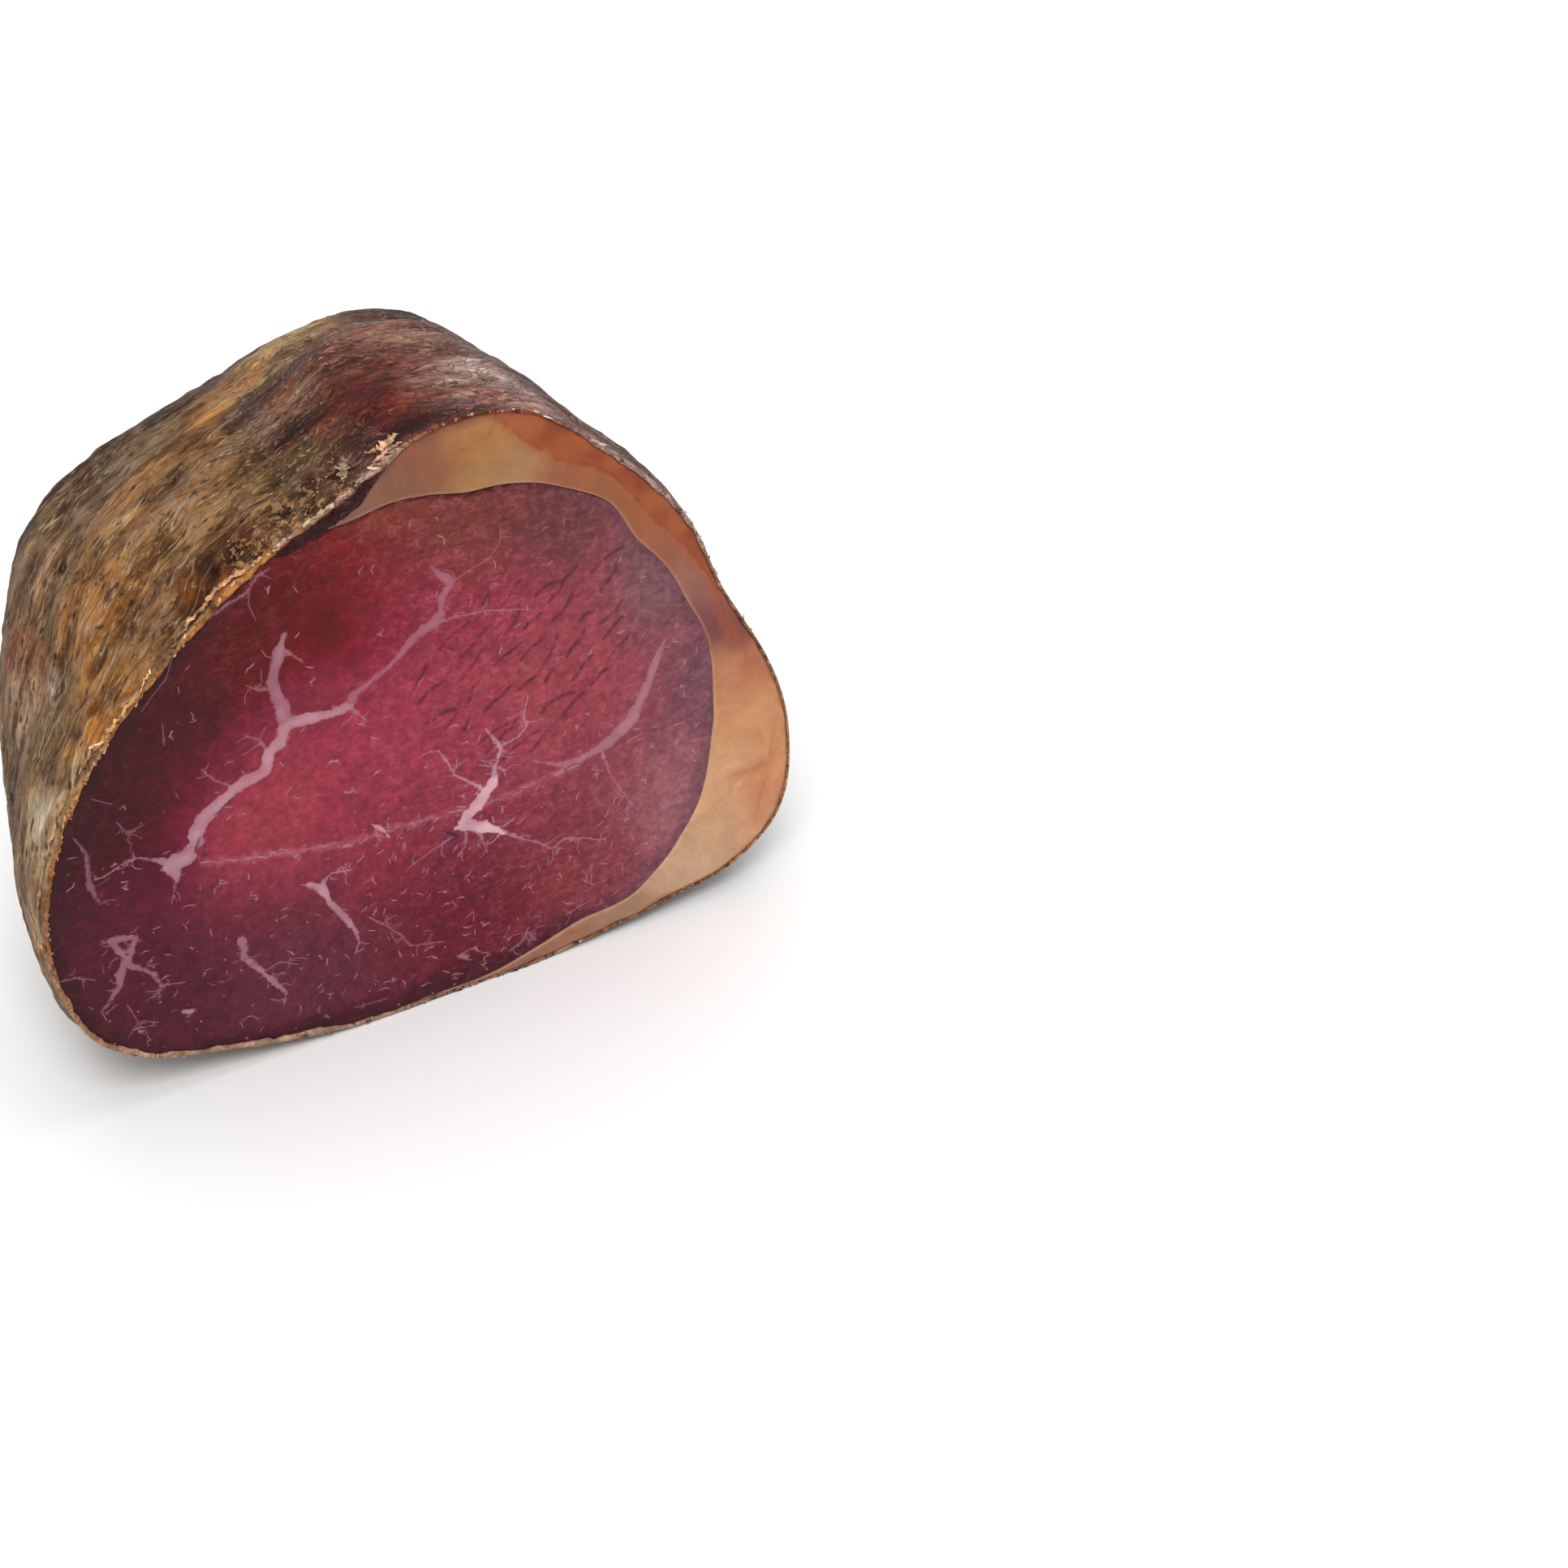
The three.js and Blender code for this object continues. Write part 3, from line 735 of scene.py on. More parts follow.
# Marbling of the lean. Each vein is a path of photograph pixels with its width there in
# millimetres, and its strength is how much paler than the meat it is.
VEINS = {
    "long_vein_upper": (0.18, [
        (533, 700, 1.0), (548, 712, 3.1), (556, 718, 2.6), (545, 735, 1.8), (543, 750, 1.9),
        (541, 762, 3.6), (510, 785, 2.3), (480, 820, 2.0), (450, 845, 1.8), (437, 855, 2.4),
        (430, 870, 2.8),
    ]),
    "long_vein_lower": (0.46, [
        (430, 870, 3.2), (410, 880, 2.8), (385, 885, 3.3), (352, 893, 4.1), (345, 915, 4.1),
        (330, 927, 3.3), (328, 950, 3.9), (300, 965, 4.3), (288, 972, 4.1), (275, 985, 3.9),
        (250, 1010, 3.9), (243, 1022, 4.4), (240, 1040, 4.4), (230, 1055, 5.5), (215, 1065, 6.1),
        (218, 1085, 1.4),
    ]),
    "second_arm": (0.3, [
        (350, 783, 1.5), (345, 800, 3.2), (340, 820, 2.5), (335, 840, 3.8), (345, 868, 4.2),
        (352, 893, 4.0),
    ]),
    "second_arm_spur": (0.2, [(348, 803, 1.8), (358, 806, 1.0), (372, 815, 0.6)]),
    "second_arm_side": (0.18, [(335, 848, 1.6), (320, 850, 1.0), (305, 845, 0.6)]),
    "long_vein_twig": (0.34, [(545, 764, 1.4), (570, 758, 0.8), (600, 752, 0.6), (650, 750, 0.5)]),
    "head_twig": (0.2, [
        (555, 718, 0.9), (580, 700, 0.5), (600, 690, 0.5), (615, 670, 0.5), (617, 650, 0.4),
    ]),
    "elbow_spur": (0.3, [(432, 872, 1.6), (450, 887, 0.7)]),
    "middle_spur": (0.25, [(330, 925, 1.6), (318, 912, 0.9), (305, 907, 0.6)]),
    "lower_spur": (0.25, [(290, 970, 1.4), (265, 962, 0.8), (250, 950, 0.5)]),
    "blob_tail": (0.36, [
        (212, 1063, 2.9), (190, 1060, 1.4), (172, 1057, 0.9), (155, 1062, 0.8), (130, 1080, 0.7),
        (115, 1085, 0.6),
    ]),
    "below_blob": (0.25, [(217, 1090, 1.2), (212, 1112, 0.6)]),
    "left_small": (0.14, [
        (92, 1035, 0.7), (105, 1050, 1.0), (108, 1070, 1.5), (110, 1090, 3.0), (122, 1112, 0.8),
    ]),
    "star_left": (0.26, [(136, 1160, 1.9), (168, 1154, 2.2), (158, 1184, 1.9), (136, 1160, 1.7)]),
    "star_leg": (0.24, [
        (154, 1185, 3.1), (150, 1197, 2.4), (147, 1215, 1.7), (135, 1235, 1.4), (125, 1246, 1.1),
        (130, 1255, 0.6),
    ]),
    "star_arm": (0.26, [
        (155, 1188, 2.3), (175, 1195, 1.8), (190, 1201, 1.4), (198, 1215, 1.1), (197, 1229, 0.6),
    ]),
    "star_finger": (0.25, [(198, 1214, 0.8), (225, 1210, 0.5)]),
    "star_side": (0.2, [(75, 1210, 0.5), (95, 1205, 0.7), (115, 1208, 0.5)]),
    "star_thread": (0.25, [(158, 1240, 0.5), (172, 1262, 0.4), (185, 1280, 0.4)]),
    "second_star": (0.38, [
        (297, 1158, 2.9), (302, 1180, 1.9), (320, 1195, 1.7), (340, 1211, 1.7), (352, 1223, 1.2),
        (350, 1235, 0.6),
    ]),
    "second_star_arm": (0.25, [(325, 1196, 0.9), (345, 1185, 0.6), (365, 1188, 0.5)]),
    "oval": (0.42, [(226, 1246, 1.6), (238, 1246, 1.4)]),
    "left_dash": (0.15, [(115, 985, 0.6), (135, 990, 0.4)]),
    "left_dash_low": (0.15, [(145, 1015, 0.6), (160, 1030, 0.4)]),
    "left_dash_high": (0.15, [(200, 895, 0.5), (202, 915, 0.9)]),
    "low_vein": (0.52, [
        (375, 1090, 1.0), (386, 1090, 2.2), (395, 1093, 3.4), (405, 1110, 2.4), (420, 1125, 1.9),
        (438, 1146, 1.4), (442, 1160, 1.0), (438, 1172, 0.6),
    ]),
    "low_vein_up": (0.45, [(397, 1090, 1.8), (402, 1080, 1.0), (410, 1075, 0.8), (430, 1072, 0.5)]),
    "low_dots": (0.25, [
        (455, 1130, 0.8), (475, 1140, 0.7), (495, 1152, 0.9), (505, 1165, 0.5), (545, 1160, 0.5),
    ]),
    "middle_leg": (0.76, [
        (607, 962, 3.0), (598, 978, 3.2), (588, 993, 3.7), (575, 1004, 3.9), (570, 1016, 4.1),
    ]),
    "middle_blob": (0.82, [(562, 1020, 1.6), (580, 1017, 4.0), (600, 1020, 3.6), (622, 1026, 1.6)]),
    "middle_top": (0.5, [(600, 900, 0.8), (617, 920, 1.3), (612, 940, 1.2), (607, 962, 1.8)]),
    "middle_arm": (0.55, [
        (592, 970, 1.4), (575, 962, 1.0), (560, 955, 0.8), (552, 940, 0.8), (540, 925, 0.5),
    ]),
    "middle_antler": (0.46, [
        (650, 860, 0.5), (645, 880, 0.8), (648, 895, 0.8), (637, 908, 0.9), (618, 918, 1.0),
    ]),
    "middle_tail": (0.42, [
        (620, 1024, 1.6), (640, 1032, 1.0), (660, 1037, 0.8), (680, 1045, 0.7), (695, 1033, 0.8),
        (720, 1032, 0.6), (740, 1035, 0.5),
    ]),
    "middle_heel": (0.3, [(558, 1030, 0.9), (535, 1045, 0.7), (515, 1060, 0.5), (505, 1068, 0.4)]),
    "middle_foot": (0.35, [(575, 1026, 1.4), (573, 1042, 0.8), (565, 1052, 0.5)]),
    "middle_toe": (0.35, [(592, 1028, 1.2), (600, 1048, 0.5)]),
    "right_vein": (0.26, [
        (818, 790, 1.2), (808, 812, 2.2), (800, 840, 2.9), (790, 862, 3.6), (780, 885, 4.1),
        (760, 905, 4.1), (740, 922, 3.6), (715, 935, 2.6), (690, 942, 1.7), (660, 938, 0.7),
    ]),
    "right_vein_leg": (0.3, [(740, 924, 1.4), (752, 955, 0.9), (770, 980, 0.9), (785, 998, 0.5)]),
    "right_dash": (0.3, [(650, 1145, 1.0), (643, 1160, 0.8), (630, 1170, 0.5)]),
    "right_dash_side": (0.3, [(650, 1148, 0.8), (660, 1157, 0.5)]),
    "low_blob": (0.4, [(566, 1178, 1.2), (574, 1179, 1.4)]),
    "seam_knot": (0.6, [(461, 1017, 0.8), (470, 1021, 2.0), (479, 1030, 0.7)]),
    "right_low_dash": (0.3, [(725, 1110, 0.9), (712, 1118, 0.6), (700, 1125, 0.5)]),
    "right_low_twig": (0.25, [(745, 1085, 0.8), (730, 1090, 0.6), (718, 1085, 0.5)]),
    "bottom_dash": (0.2, [(440, 1240, 0.7), (475, 1230, 0.5)]),
    "rim_membrane": (0.24, [
        (330, 702, 0.4), (318, 710, 0.9), (303, 731, 1.1), (281, 743, 1.2), (262, 758, 0.9),
        (240, 776, 0.9), (226, 792, 0.5),
    ]),
    "rim_membrane_low": (0.1, [(212, 812, 0.5), (205, 835, 0.8), (190, 855, 0.6), (176, 875, 0.4)]),
    "rim_curl": (0.15, [(312, 708, 0.4), (308, 720, 0.6), (306, 745, 0.5), (314, 762, 0.3)]),
    "rim_curl_top": (0.15, [(310, 712, 0.4), (320, 707, 0.5), (332, 712, 0.3)]),
}

# The seam between two muscles: a row of dashes along this path
MUSCLE_SEAM = [
    (250, 1065), (300, 1058), (340, 1052), (390, 1045), (420, 1040), (470, 1028), (480, 1020),
    (510, 1015), (540, 1005), (600, 990), (640, 975), (680, 955), (715, 940),
]
# Slits and holes in the cut, which the shader darkens with painted shade
SLITS = {
    "blob_slit": [(246, 1032, 0.5), (241, 1050, 0.7)],
    "vein_slit": [(285, 985, 0.3), (265, 1005, 0.4)],
    "middle_slit": [(545, 1024, 0.3), (562, 1029, 0.6)],
    "star_hole": [(150, 1163, 1.0), (155, 1168, 0.8)],
}

# Shades of the lean: photograph pixel, size in millimetres, colour
LEAN_SHADES = {
    "rosy_middle": (480, 900, 24, "#963749"),
    "rosy_left": (330, 1000, 17, "#9d3f4b"),
    "rosy_right": (680, 830, 22, "#95404b"),
    "rosy_top": (560, 770, 16, "#8a3241"),
    "red_brown_top": (430, 690, 13, "#732524"),
    "brown_under_cap": (560, 635, 11, "#6f3a32"),
    "grey_under_cap": (690, 630, 12, "#663a3a"),
    "orange_brown_top": (470, 632, 5, "#80402e"),
    "bruise": (400, 765, 4, "#4c1220"),
    "purple_bruise": (548, 1030, 3, "#5c2742"),
    # The grey-violet of the next two is the meat's own tone with a painted reflection of the pale
    # surround over it
    "grey_and_sheen_upper_right": (805, 720, 12, "#705456"),
    "grey_and_sheen_right": (858, 850, 10, "#724b54"),
    "dusky_lower_right": (820, 1000, 15, "#956368"),
    "lower_right": (720, 1060, 18, "#7d343b"),
    "low_middle": (560, 1120, 20, "#66232e"),
    "rosy_low": (480, 1050, 14, "#89333f"),
    "low_left": (380, 1210, 22, "#5e2f3a"),
    "bottom_left": (170, 1240, 22, "#50242e"),
    "left": (130, 1000, 20, "#400921"),
    "left_high": (200, 890, 14, "#451620"),
    "crimson_high": (490, 775, 8, "#7d2737"),
    "crimson_bruise": (440, 760, 5, "#6c1e2a"),
    "crimson_slope": (365, 860, 6, "#762c3a"),
    "crimson_inner": (280, 945, 6, "#6c2832"),
    "scarlet_left": (310, 775, 13, "#52070e"),
    "scarlet_dark": (400, 770, 10, "#5e0f1a"),
}
# The darker margin of the lean, by angle: its width in millimetres
MARGIN_WIDTH = {
    "right": (0, 6.5),
    "top": (80, 1.5),
    "flank_top": (125, 2.2),
    "flank": (160, 9.0),
    "left": (200, 8.0),
    "lower_left": (225, 6.0),
    "underside": (270, 11.0),
    "lower_right": (305, 8.0),
}
MARGIN_DARK = "#3a1824"
MARGIN_RIGHT = "#6a4450"

LEAN_SHEEN = 0.014  # the share of the pale surround that the moist cut mirrors
CUT_STEPS = 285  # points along each side of the square that becomes the cut
LEAN_ROWS = 11
VEIN_SEED = 11
TWIG_SPACING = 3.6  # millimetres of vein to each side twig, on average
TWIG_LONGEST = 5.2
TWIG_WIDTHS = (0.55, 0.4, 0.25)
STROKE_COUNT = 640
CREASED_PIXEL = (655, 800)  # the middle of the part with creases, in the photograph
CREASE_SPACING = 5.5
CREASE_HEADING = 42  # degrees upwards from the right
CREASE_WIDTHS = (0.25, 0.3, 0.2)
BRUISE_PIXEL = (400, 770)  # a dark bruise without a net of fibres round it
BRUISE_SIZE = 30
FAR = 9  # millimetres from a line at which nothing of it shows
IN_SEAM = "#b8757e"


def lean_radius(angle):
    """The lean's outline: inside the fat where there is fat, and inside the rind elsewhere."""
    fat = (fat_thickness(within_turn(angle), 0) + SEAM_GAP) * has_fat(angle)
    return outline(angle) - np.maximum(fat, rind_thickness(angle))


def disc_from_square(steps):
    """The square of points from -1 to 1 drawn onto a disc, each square ring to a circle:
    radius is the larger coordinate and the angle is an eighth of a turn times their ratio."""
    side = np.linspace(-1, 1, steps)
    a, b = np.meshgrid(side, side, indexing="ij")
    wide = np.abs(a) > np.abs(b)
    radius = np.where(wide, a, b)
    safe = np.where(radius == 0, 1, radius)
    angle = np.where(wide, b / safe * np.pi / 4, np.pi / 2 - a / safe * np.pi / 4)
    angle = np.where(radius < 0, angle + np.pi, angle)
    return np.abs(radius), np.degrees(angle)


def boundary_ring(index):
    """The point numbers along the border of a square grid, turning from +X towards +Z."""
    bottom, right = index[:-1, 0], index[-1, :-1]
    top, left = index[:0:-1, -1], index[0, :0:-1]
    return np.concatenate([bottom, right, top, left])


def segment_field(place, segments):
    """For each place: the signed distance to the nearest tapered segment, which is the distance
    less half the width there, the offset beside that segment's line, that half width, and the
    segment's number."""
    best = np.full(len(place), 1e9)
    offset, half = np.zeros((2, len(place)))
    nearest = np.zeros(len(place), int)
    for number, (x0, z0, w0, x1, z1, w1, _) in enumerate(segments):
        way = np.array([x1 - x0, z1 - z0])
        length = max(np.hypot(*way), 1e-6)
        way /= length
        from_start = place - (x0, z0)
        along = np.clip(from_start @ way, 0, length)
        apart = from_start - along[:, None] * way
        half_here = mix(w0, w1, along / length) / 2
        distance = np.hypot(*apart.T) - half_here
        closer = distance < best
        best[closer] = distance[closer]
        offset[closer] = (from_start @ np.array([-way[1], way[0]]))[closer]
        half[closer] = half_here[closer]
        nearest[closer] = number
    return best, offset, half, nearest


def in_space(place):
    """Points of the cut, (x, z), as points in space with y at 0."""
    return np.stack([place[..., 0], np.zeros(place.shape[:-1]), place[..., 1]], -1)


def path_segments(path, strength):
    """The segments of one vein: from point to point, with the width at both ends."""
    place = on_cut(path)
    width = [point[2] for point in path]
    return [
        (*place[k], width[k], *place[k + 1], width[k + 1], strength) for k in range(len(path) - 1)
    ]


def table_segments(paths):
    """The segments of all the veins of a table, one vein after another."""
    return [s for strength, path in paths.values() for s in path_segments(path, strength)]


def twigs(random, segments, spacing, longest):
    """Side twigs: from a random place on each vein a walk of three short steps, turned away from
    the vein by 35 to 80 degrees and bending as it goes."""
    found = []
    for x0, z0, _, x1, z1, _, strength in segments:
        length = np.hypot(x1 - x0, z1 - z0)
        for _ in range(random.poisson(length / spacing)):
            t = random.random()
            x, z = mix(x0, x1, t), mix(z0, z1, t)
            turn = np.radians(random.uniform(35, 80)) * random.choice([-1, 1])
            heading = np.arctan2(z1 - z0, x1 - x0) + turn
            step = random.uniform(0.25, 1) * longest / 3
            for width in TWIG_WIDTHS:
                end = x + step * np.cos(heading), z + step * np.sin(heading)
                found.append((x, z, width, *end, width * 0.7, strength * 0.72))
                x, z = end
                heading += np.radians(random.uniform(-45, 45))
    return found


def loose_strokes(random, count):
    """Short loose strokes of fat, bent and some of them forked, most of them in the lower half."""
    found = []
    while len(found) < count:
        angle = random.uniform(0, 360)
        radius = lean_radius(angle) * np.sqrt(random.random()) * 0.97
        x, z = radius * np.cos(np.radians(angle)), radius * np.sin(np.radians(angle))
        if random.random() > 0.2 + 0.8 * smoothstep((20 - z) / 50):
            continue
        heading = random.uniform(0, np.pi)
        for _ in range(random.integers(1, 4)):
            step = random.uniform(0.3, 1.1)
            end = x + step * np.cos(heading), z + step * np.sin(heading)
            found.append((x, z, 0.35, *end, 0.2, random.uniform(0.1, 0.55)))
            if random.random() > 0.3:
                x, z = end
            heading += random.uniform(-1.3, 1.3)
    return found


def creases(random):
    """Fine creases of the fibre bundles, along which the shader paints shade: bent strokes 4 to 11 mm
    long that run upwards to the right in rows, in an oval on the right of the middle."""
    middle = on_cut([CREASED_PIXEL])[0]
    found = []
    for across in np.arange(-22, 23, CREASE_SPACING):
        along = random.uniform(-30, -22)
        while along < 26 - 0.6 * abs(across):
            heading = np.radians(random.normal(CREASE_HEADING, 8))
            row = np.radians(CREASE_HEADING)
            x, z = middle + (
                along * np.cos(row) - across * np.sin(row),
                along * np.sin(row) + across * np.cos(row) + random.uniform(-1.5, 1.5),
            )
            long = random.uniform(4, 11)
            for width in CREASE_WIDTHS:
                end = x + long / 3 * np.cos(heading), z + long / 3 * np.sin(heading)
                found.append((x, z, width, *end, width, 1))
                x, z = end
                heading += random.uniform(-0.45, 0.45)
            along += long + random.uniform(1.5, 8)
    return found


def seam_dashes(random):
    """The muscle seam as faint dashes, a little off its line and turned from it."""
    place = on_cut(MUSCLE_SEAM)
    found = []
    for (x0, z0), (x1, z1) in zip(place[:-1], place[1:]):
        for start in np.arange(0, 1, 0.13):
            if random.random() < 0.2:
                continue
            shifts = random.uniform(-0.8, 0.8) + random.uniform(-0.4, 0.4, 2)
            ends = [
                (mix(x0, x1, t), mix(z0, z1, t) + shift)
                for t, shift in zip((start, start + 0.12), shifts)
            ]
            found.append((*ends[0], 0.45, *ends[1], 0.3, random.uniform(0.1, 0.5)))
    return found


def lean_tint(place, angle, from_edge):
    """The lean's colour: the named shades blended by distance, then a darker margin of varying
    width, with both bent by broad noise."""
    flat = in_space(place)
    bend = 4 * np.stack([noise_at(flat, 14, 21), noise_at(flat, 14, 22)], -1)
    colour = shades_of_cut(place + bend, LEAN_SHADES)
    width = curve_through(list(MARGIN_WIDTH.values()), angle, 360)
    ragged = 1 + 0.35 * noise_at(flat, 6, 23) + 0.25 * noise_at(flat, 2.2, 24)
    seam = path_segments([(x, y, 0) for x, y in MUSCLE_SEAM], 1)
    in_seam = smoothstep(1.2 - segment_field(place, seam)[0] / 1.5 + 0.6 * noise_at(flat, 1.6, 25))
    colour = mix(colour, srgb(IN_SEAM), (0.3 * in_seam)[:, None])
    share = 0.75 * smoothstep(1 - from_edge / (width * ragged))
    on_right = smoothstep((np.cos(np.radians(angle)) - 0.3) / 0.4)[:, None]
    margin = mix(srgb(MARGIN_DARK), srgb(MARGIN_RIGHT), on_right)
    return mix(colour, margin, share[:, None])


def lean_meat():
    """The lean: a flat cut over a square grid drawn onto its outline, then a hidden wall that runs
    back under the fat and the rind to a pole."""
    radius_share, angle = disc_from_square(CUT_STEPS)
    index = np.arange(CUT_STEPS**2).reshape(CUT_STEPS, CUT_STEPS)
    edge = lean_radius(angle)
    radius = (radius_share * edge).ravel()
    angle = angle.ravel()
    from_edge = edge.ravel() - radius
    place = np.stack([radius * np.cos(np.radians(angle)), radius * np.sin(np.radians(angle))], -1)

    random = np.random.default_rng(VEIN_SEED)
    veins = table_segments(VEINS)
    branching = table_segments({name: vein for name, vein in VEINS.items() if "rim" not in name})
    fine = twigs(random, branching, TWIG_SPACING, TWIG_LONGEST)
    fine += seam_dashes(random) + loose_strokes(random, STROKE_COUNT)
    segments = veins + fine
    distance, offset, half, nearest = segment_field(place, segments)
    slit, *_ = segment_field(place, table_segments({name: (1, path) for name, path in SLITS.items()}))
    strength = np.array([s[6] for s in segments])[nearest]

    flat = in_space(place)
    swelling = 0.15 + 0.42 * noise_at(flat, 4.5, 33) + 0.26 * noise_at(flat, 1.8, 34)
    distance = distance + swelling * np.clip(half - 0.3, 0, 1) * (nearest < len(veins))
    distance = distance + 0.16 * smoothstep((0.8 - half) / 0.4)
    strength = strength * (1 + 0.28 * noise_at(flat, 3.0, 35))
    height = 0.25 * noise_at(flat, 13, 31) + 0.1 * noise_at(flat, 4, 32)
    height += 0.12 * smoothstep(0.6 - distance) - 0.5 * smoothstep(0.4 - slit)
    height -= 0.2 * smoothstep(1 - from_edge / 0.7)
    front = np.stack([place[:, 0], -height, AXIS_HEIGHT + place[:, 1]], -1)

    ring = boundary_ring(index)
    ring_angle = angle[ring]
    depths = 0.02 + 0.93 * np.linspace(0, 1, LEAN_ROWS) ** 1.4
    rows = []
    for u in depths:
        fat = (fat_thickness(within_turn(ring_angle), u) + SEAM_GAP) * has_fat(ring_angle)
        cover = np.maximum(fat, rind_thickness(ring_angle, u)) + 3 * smoothstep((u - 0.02) / 0.1)
        rows.append(body_point(ring_angle, u, cover))
    pole = body_point(0, 1, RIND_BACK_THICKNESS + 3)
    points = np.concatenate([front, *rows, pole[None]])
    behind = len(front) + np.arange(LEAN_ROWS * len(ring)).reshape(LEAN_ROWS, -1)
    wall = np.concatenate([ring[None], behind]).T
    wall = np.concatenate([wall, wall[:1]])
    faces = [grid_faces(index)[:, ::-1], grid_faces(wall), fan_faces(wall[:-1, -1], len(points) - 1)]

    hidden = len(points) - len(front)
    # The distance to the crease strokes, along which the shader paints shade
    creasing = segment_field(place, creases(random))[0]
    speckling = 0.15 + 0.85 * smoothstep((15 - place[:, 1]) / 50)
    netting = 0.15 + 0.85 * smoothstep((place[:, 0] + 0.4 * place[:, 1] + 60) / 90)
    from_bruise = np.hypot(*(place - on_cut([BRUISE_PIXEL])).T)
    netting = netting * smoothstep(from_bruise / BRUISE_SIZE)
    tint = lean_tint(place, angle, from_edge)

    def to_all(values, rest):
        return np.concatenate([values, np.full(hidden, rest)])

    rest_tint = np.tile(srgb(MARGIN_DARK), (hidden, 1))
    attributes = {
        "tint": beneath_sheen(linear(np.concatenate([tint, rest_tint])), LEAN_SHEEN),
        "marbling": to_all(distance, FAR),
        "marbling_offset": to_all(offset, FAR),
        "marbling_thin": to_all(smoothstep((0.8 - half) / 0.4), 0),
        "marbling_strength": to_all(strength, 0),
        "slits": to_all(slit, FAR),
        "creasing": to_all(creasing, FAR),
        "speckling": to_all(speckling, 0),
        "netting": to_all(netting, 0),
    }
    piece = make_piece("lean_meat", points, faces, air_dried_lean(), attributes)
    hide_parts("lean")


# The fat: shades by photograph pixel, size in millimetres and colour
FAT_SHADES = {
    "membrane": (425, 640, 8, "#7c5852"),
    "crown_left": (490, 600, 8, "#815942"),
    "crown_left_high": (520, 575, 7, "#8e5540"),
    "crown": (600, 562, 9, "#a67747"),
    "crown_low": (640, 590, 8, "#9f7756"),
    "under_the_amber": (705, 587, 7, "#93583c"),
    "neck_inner": (770, 635, 7, "#965b3c"),
    "right_inner_high": (818, 683, 7, "#935941"),
    "right_inner_mid": (845, 715, 7, "#936152"),
    "right": (885, 770, 8, "#743f41"),
    "right_inner": (893, 835, 7, "#b87e5a"),
    "right_outer": (925, 815, 6, "#aa6a4a"),
    "beak_upper": (920, 890, 9, "#c48c62"),
    "beak": (940, 965, 8, "#c98660"),
    "beak_middle": (900, 950, 8, "#cb9a72"),
    "beak_inner": (885, 1000, 8, "#c59a74"),
    "beak_low": (850, 1060, 8, "#c29d80"),
    "strip": (760, 1130, 8, "#a07a60"),
    "strip_end": (640, 1190, 9, "#9a6a58"),
}
# The lower edge of the amber band under the rind, from the crown to the right: photograph pixels
AMBER_EDGE = [
    (590, 500), (611, 513), (629, 526), (644, 541), (659, 549), (682, 564), (703, 569), (733, 573),
    (754, 584), (772, 600), (784, 615), (805, 638), (818, 648), (833, 661), (848, 674), (861, 692),
    (874, 709), (884, 730), (893, 760), (905, 790),
]
AMBER_FROM = 6
AMBER_TO = 80
AMBER_DEEP = "#853a1a"
AMBER_BRIGHT = "#9f552f"
AMBER_LINES = {
    "under_the_rind": (0.9, [(x, y, 0.3) for x, y in AMBER_EDGE]),
    "amber_cord": (0.5, [(700, 575, 0.3), (704, 556, 0.3), (722, 547, 0.4), (741, 552, 0.3)]),
    "crown_fork": (0.5, [(612, 520, 0.3), (600, 538, 0.3), (580, 548, 0.3), (560, 558, 0.2)]),
    "beak_streak": (0.45, [(905, 955, 0.6), (925, 950, 1.2), (940, 941, 1.2), (950, 938, 0.8)]),
    "beak_edge": (0.35, [(955, 890, 0.5), (948, 930, 0.6), (930, 1010, 0.4)]),
    "beak_dots": (0.4, [(936, 905, 0.8), (938, 912, 0.6)]),
    "right_streak": (0.4, [(915, 778, 0.4), (919, 805, 0.5), (921, 822, 0.3)]),
    "strip_specks": (0.5, [(700, 1150, 0.4), (716, 1146, 0.6), (724, 1140, 0.3)]),
}
FAT_SHEEN = 0.018
FAT_COLUMNS = 540
FAT_FACE_ROWS = 36
FAT_WALL_ROWS = 9
FAT_MARGIN_RIND = "#84503c"
FAT_MARGIN_LEAN = "#c9a58c"
FAT_HIDDEN = "#b98a66"
WELD_DIGITS = 4  # decimals of a millimetre to which two points count as one


def fat_tint(place, from_rind, from_lean):
    """The fat's colour: the named shades blended by distance, browner towards the rind and with a fine
    pale line along the lean. Under the crown the brown by the rind is wider and darker, partly smoke
    stain and partly painted shade beside the proud rind."""
    flat = in_space(place)
    bend = 2.5 * np.stack([noise_at(flat, 9, 41), noise_at(flat, 9, 42)], -1)
    colour = shades_of_cut(place + bend, FAT_SHADES)
    _, above_edge, *_ = segment_field(place, path_segments([(x, y, 0) for x, y in AMBER_EDGE], 1))
    angle = np.degrees(np.arctan2(place[:, 1], place[:, 0]))
    in_band = smoothstep((angle - AMBER_FROM) / 12) * smoothstep((AMBER_TO - angle) / 8)
    wave = above_edge + 0.8 * noise_at(flat, 3.5, 45) + 0.4 * noise_at(flat, 1.3, 46)
    deep = smoothstep(0.5 + 1.5 * noise_at(flat, 8, 47))[:, None]
    amber = mix(srgb(AMBER_BRIGHT), srgb(AMBER_DEEP), deep)
    colour = mix(colour, amber, (0.9 * in_band * smoothstep(0.6 + wave / 1.6))[:, None])
    # Under the crown the brown strip by the rind is wider and darker: part smoke stain, part painted
    # shade beside the proud rind
    stain_and_shade = smoothstep((angle - 68) / 8) * smoothstep((97 - angle) / 5)
    reach = 1.8 + 2.4 * stain_and_shade + 1.4 * noise_at(flat, 5, 43)
    browned = (0.5 + 0.3 * stain_and_shade) * smoothstep(1 - from_rind / reach)
    colour = mix(colour, srgb(FAT_MARGIN_RIND), browned[:, None])
    paled = 0.45 * smoothstep(1 - from_lean / 1.1)
    return mix(colour, srgb(FAT_MARGIN_LEAN), paled[:, None])


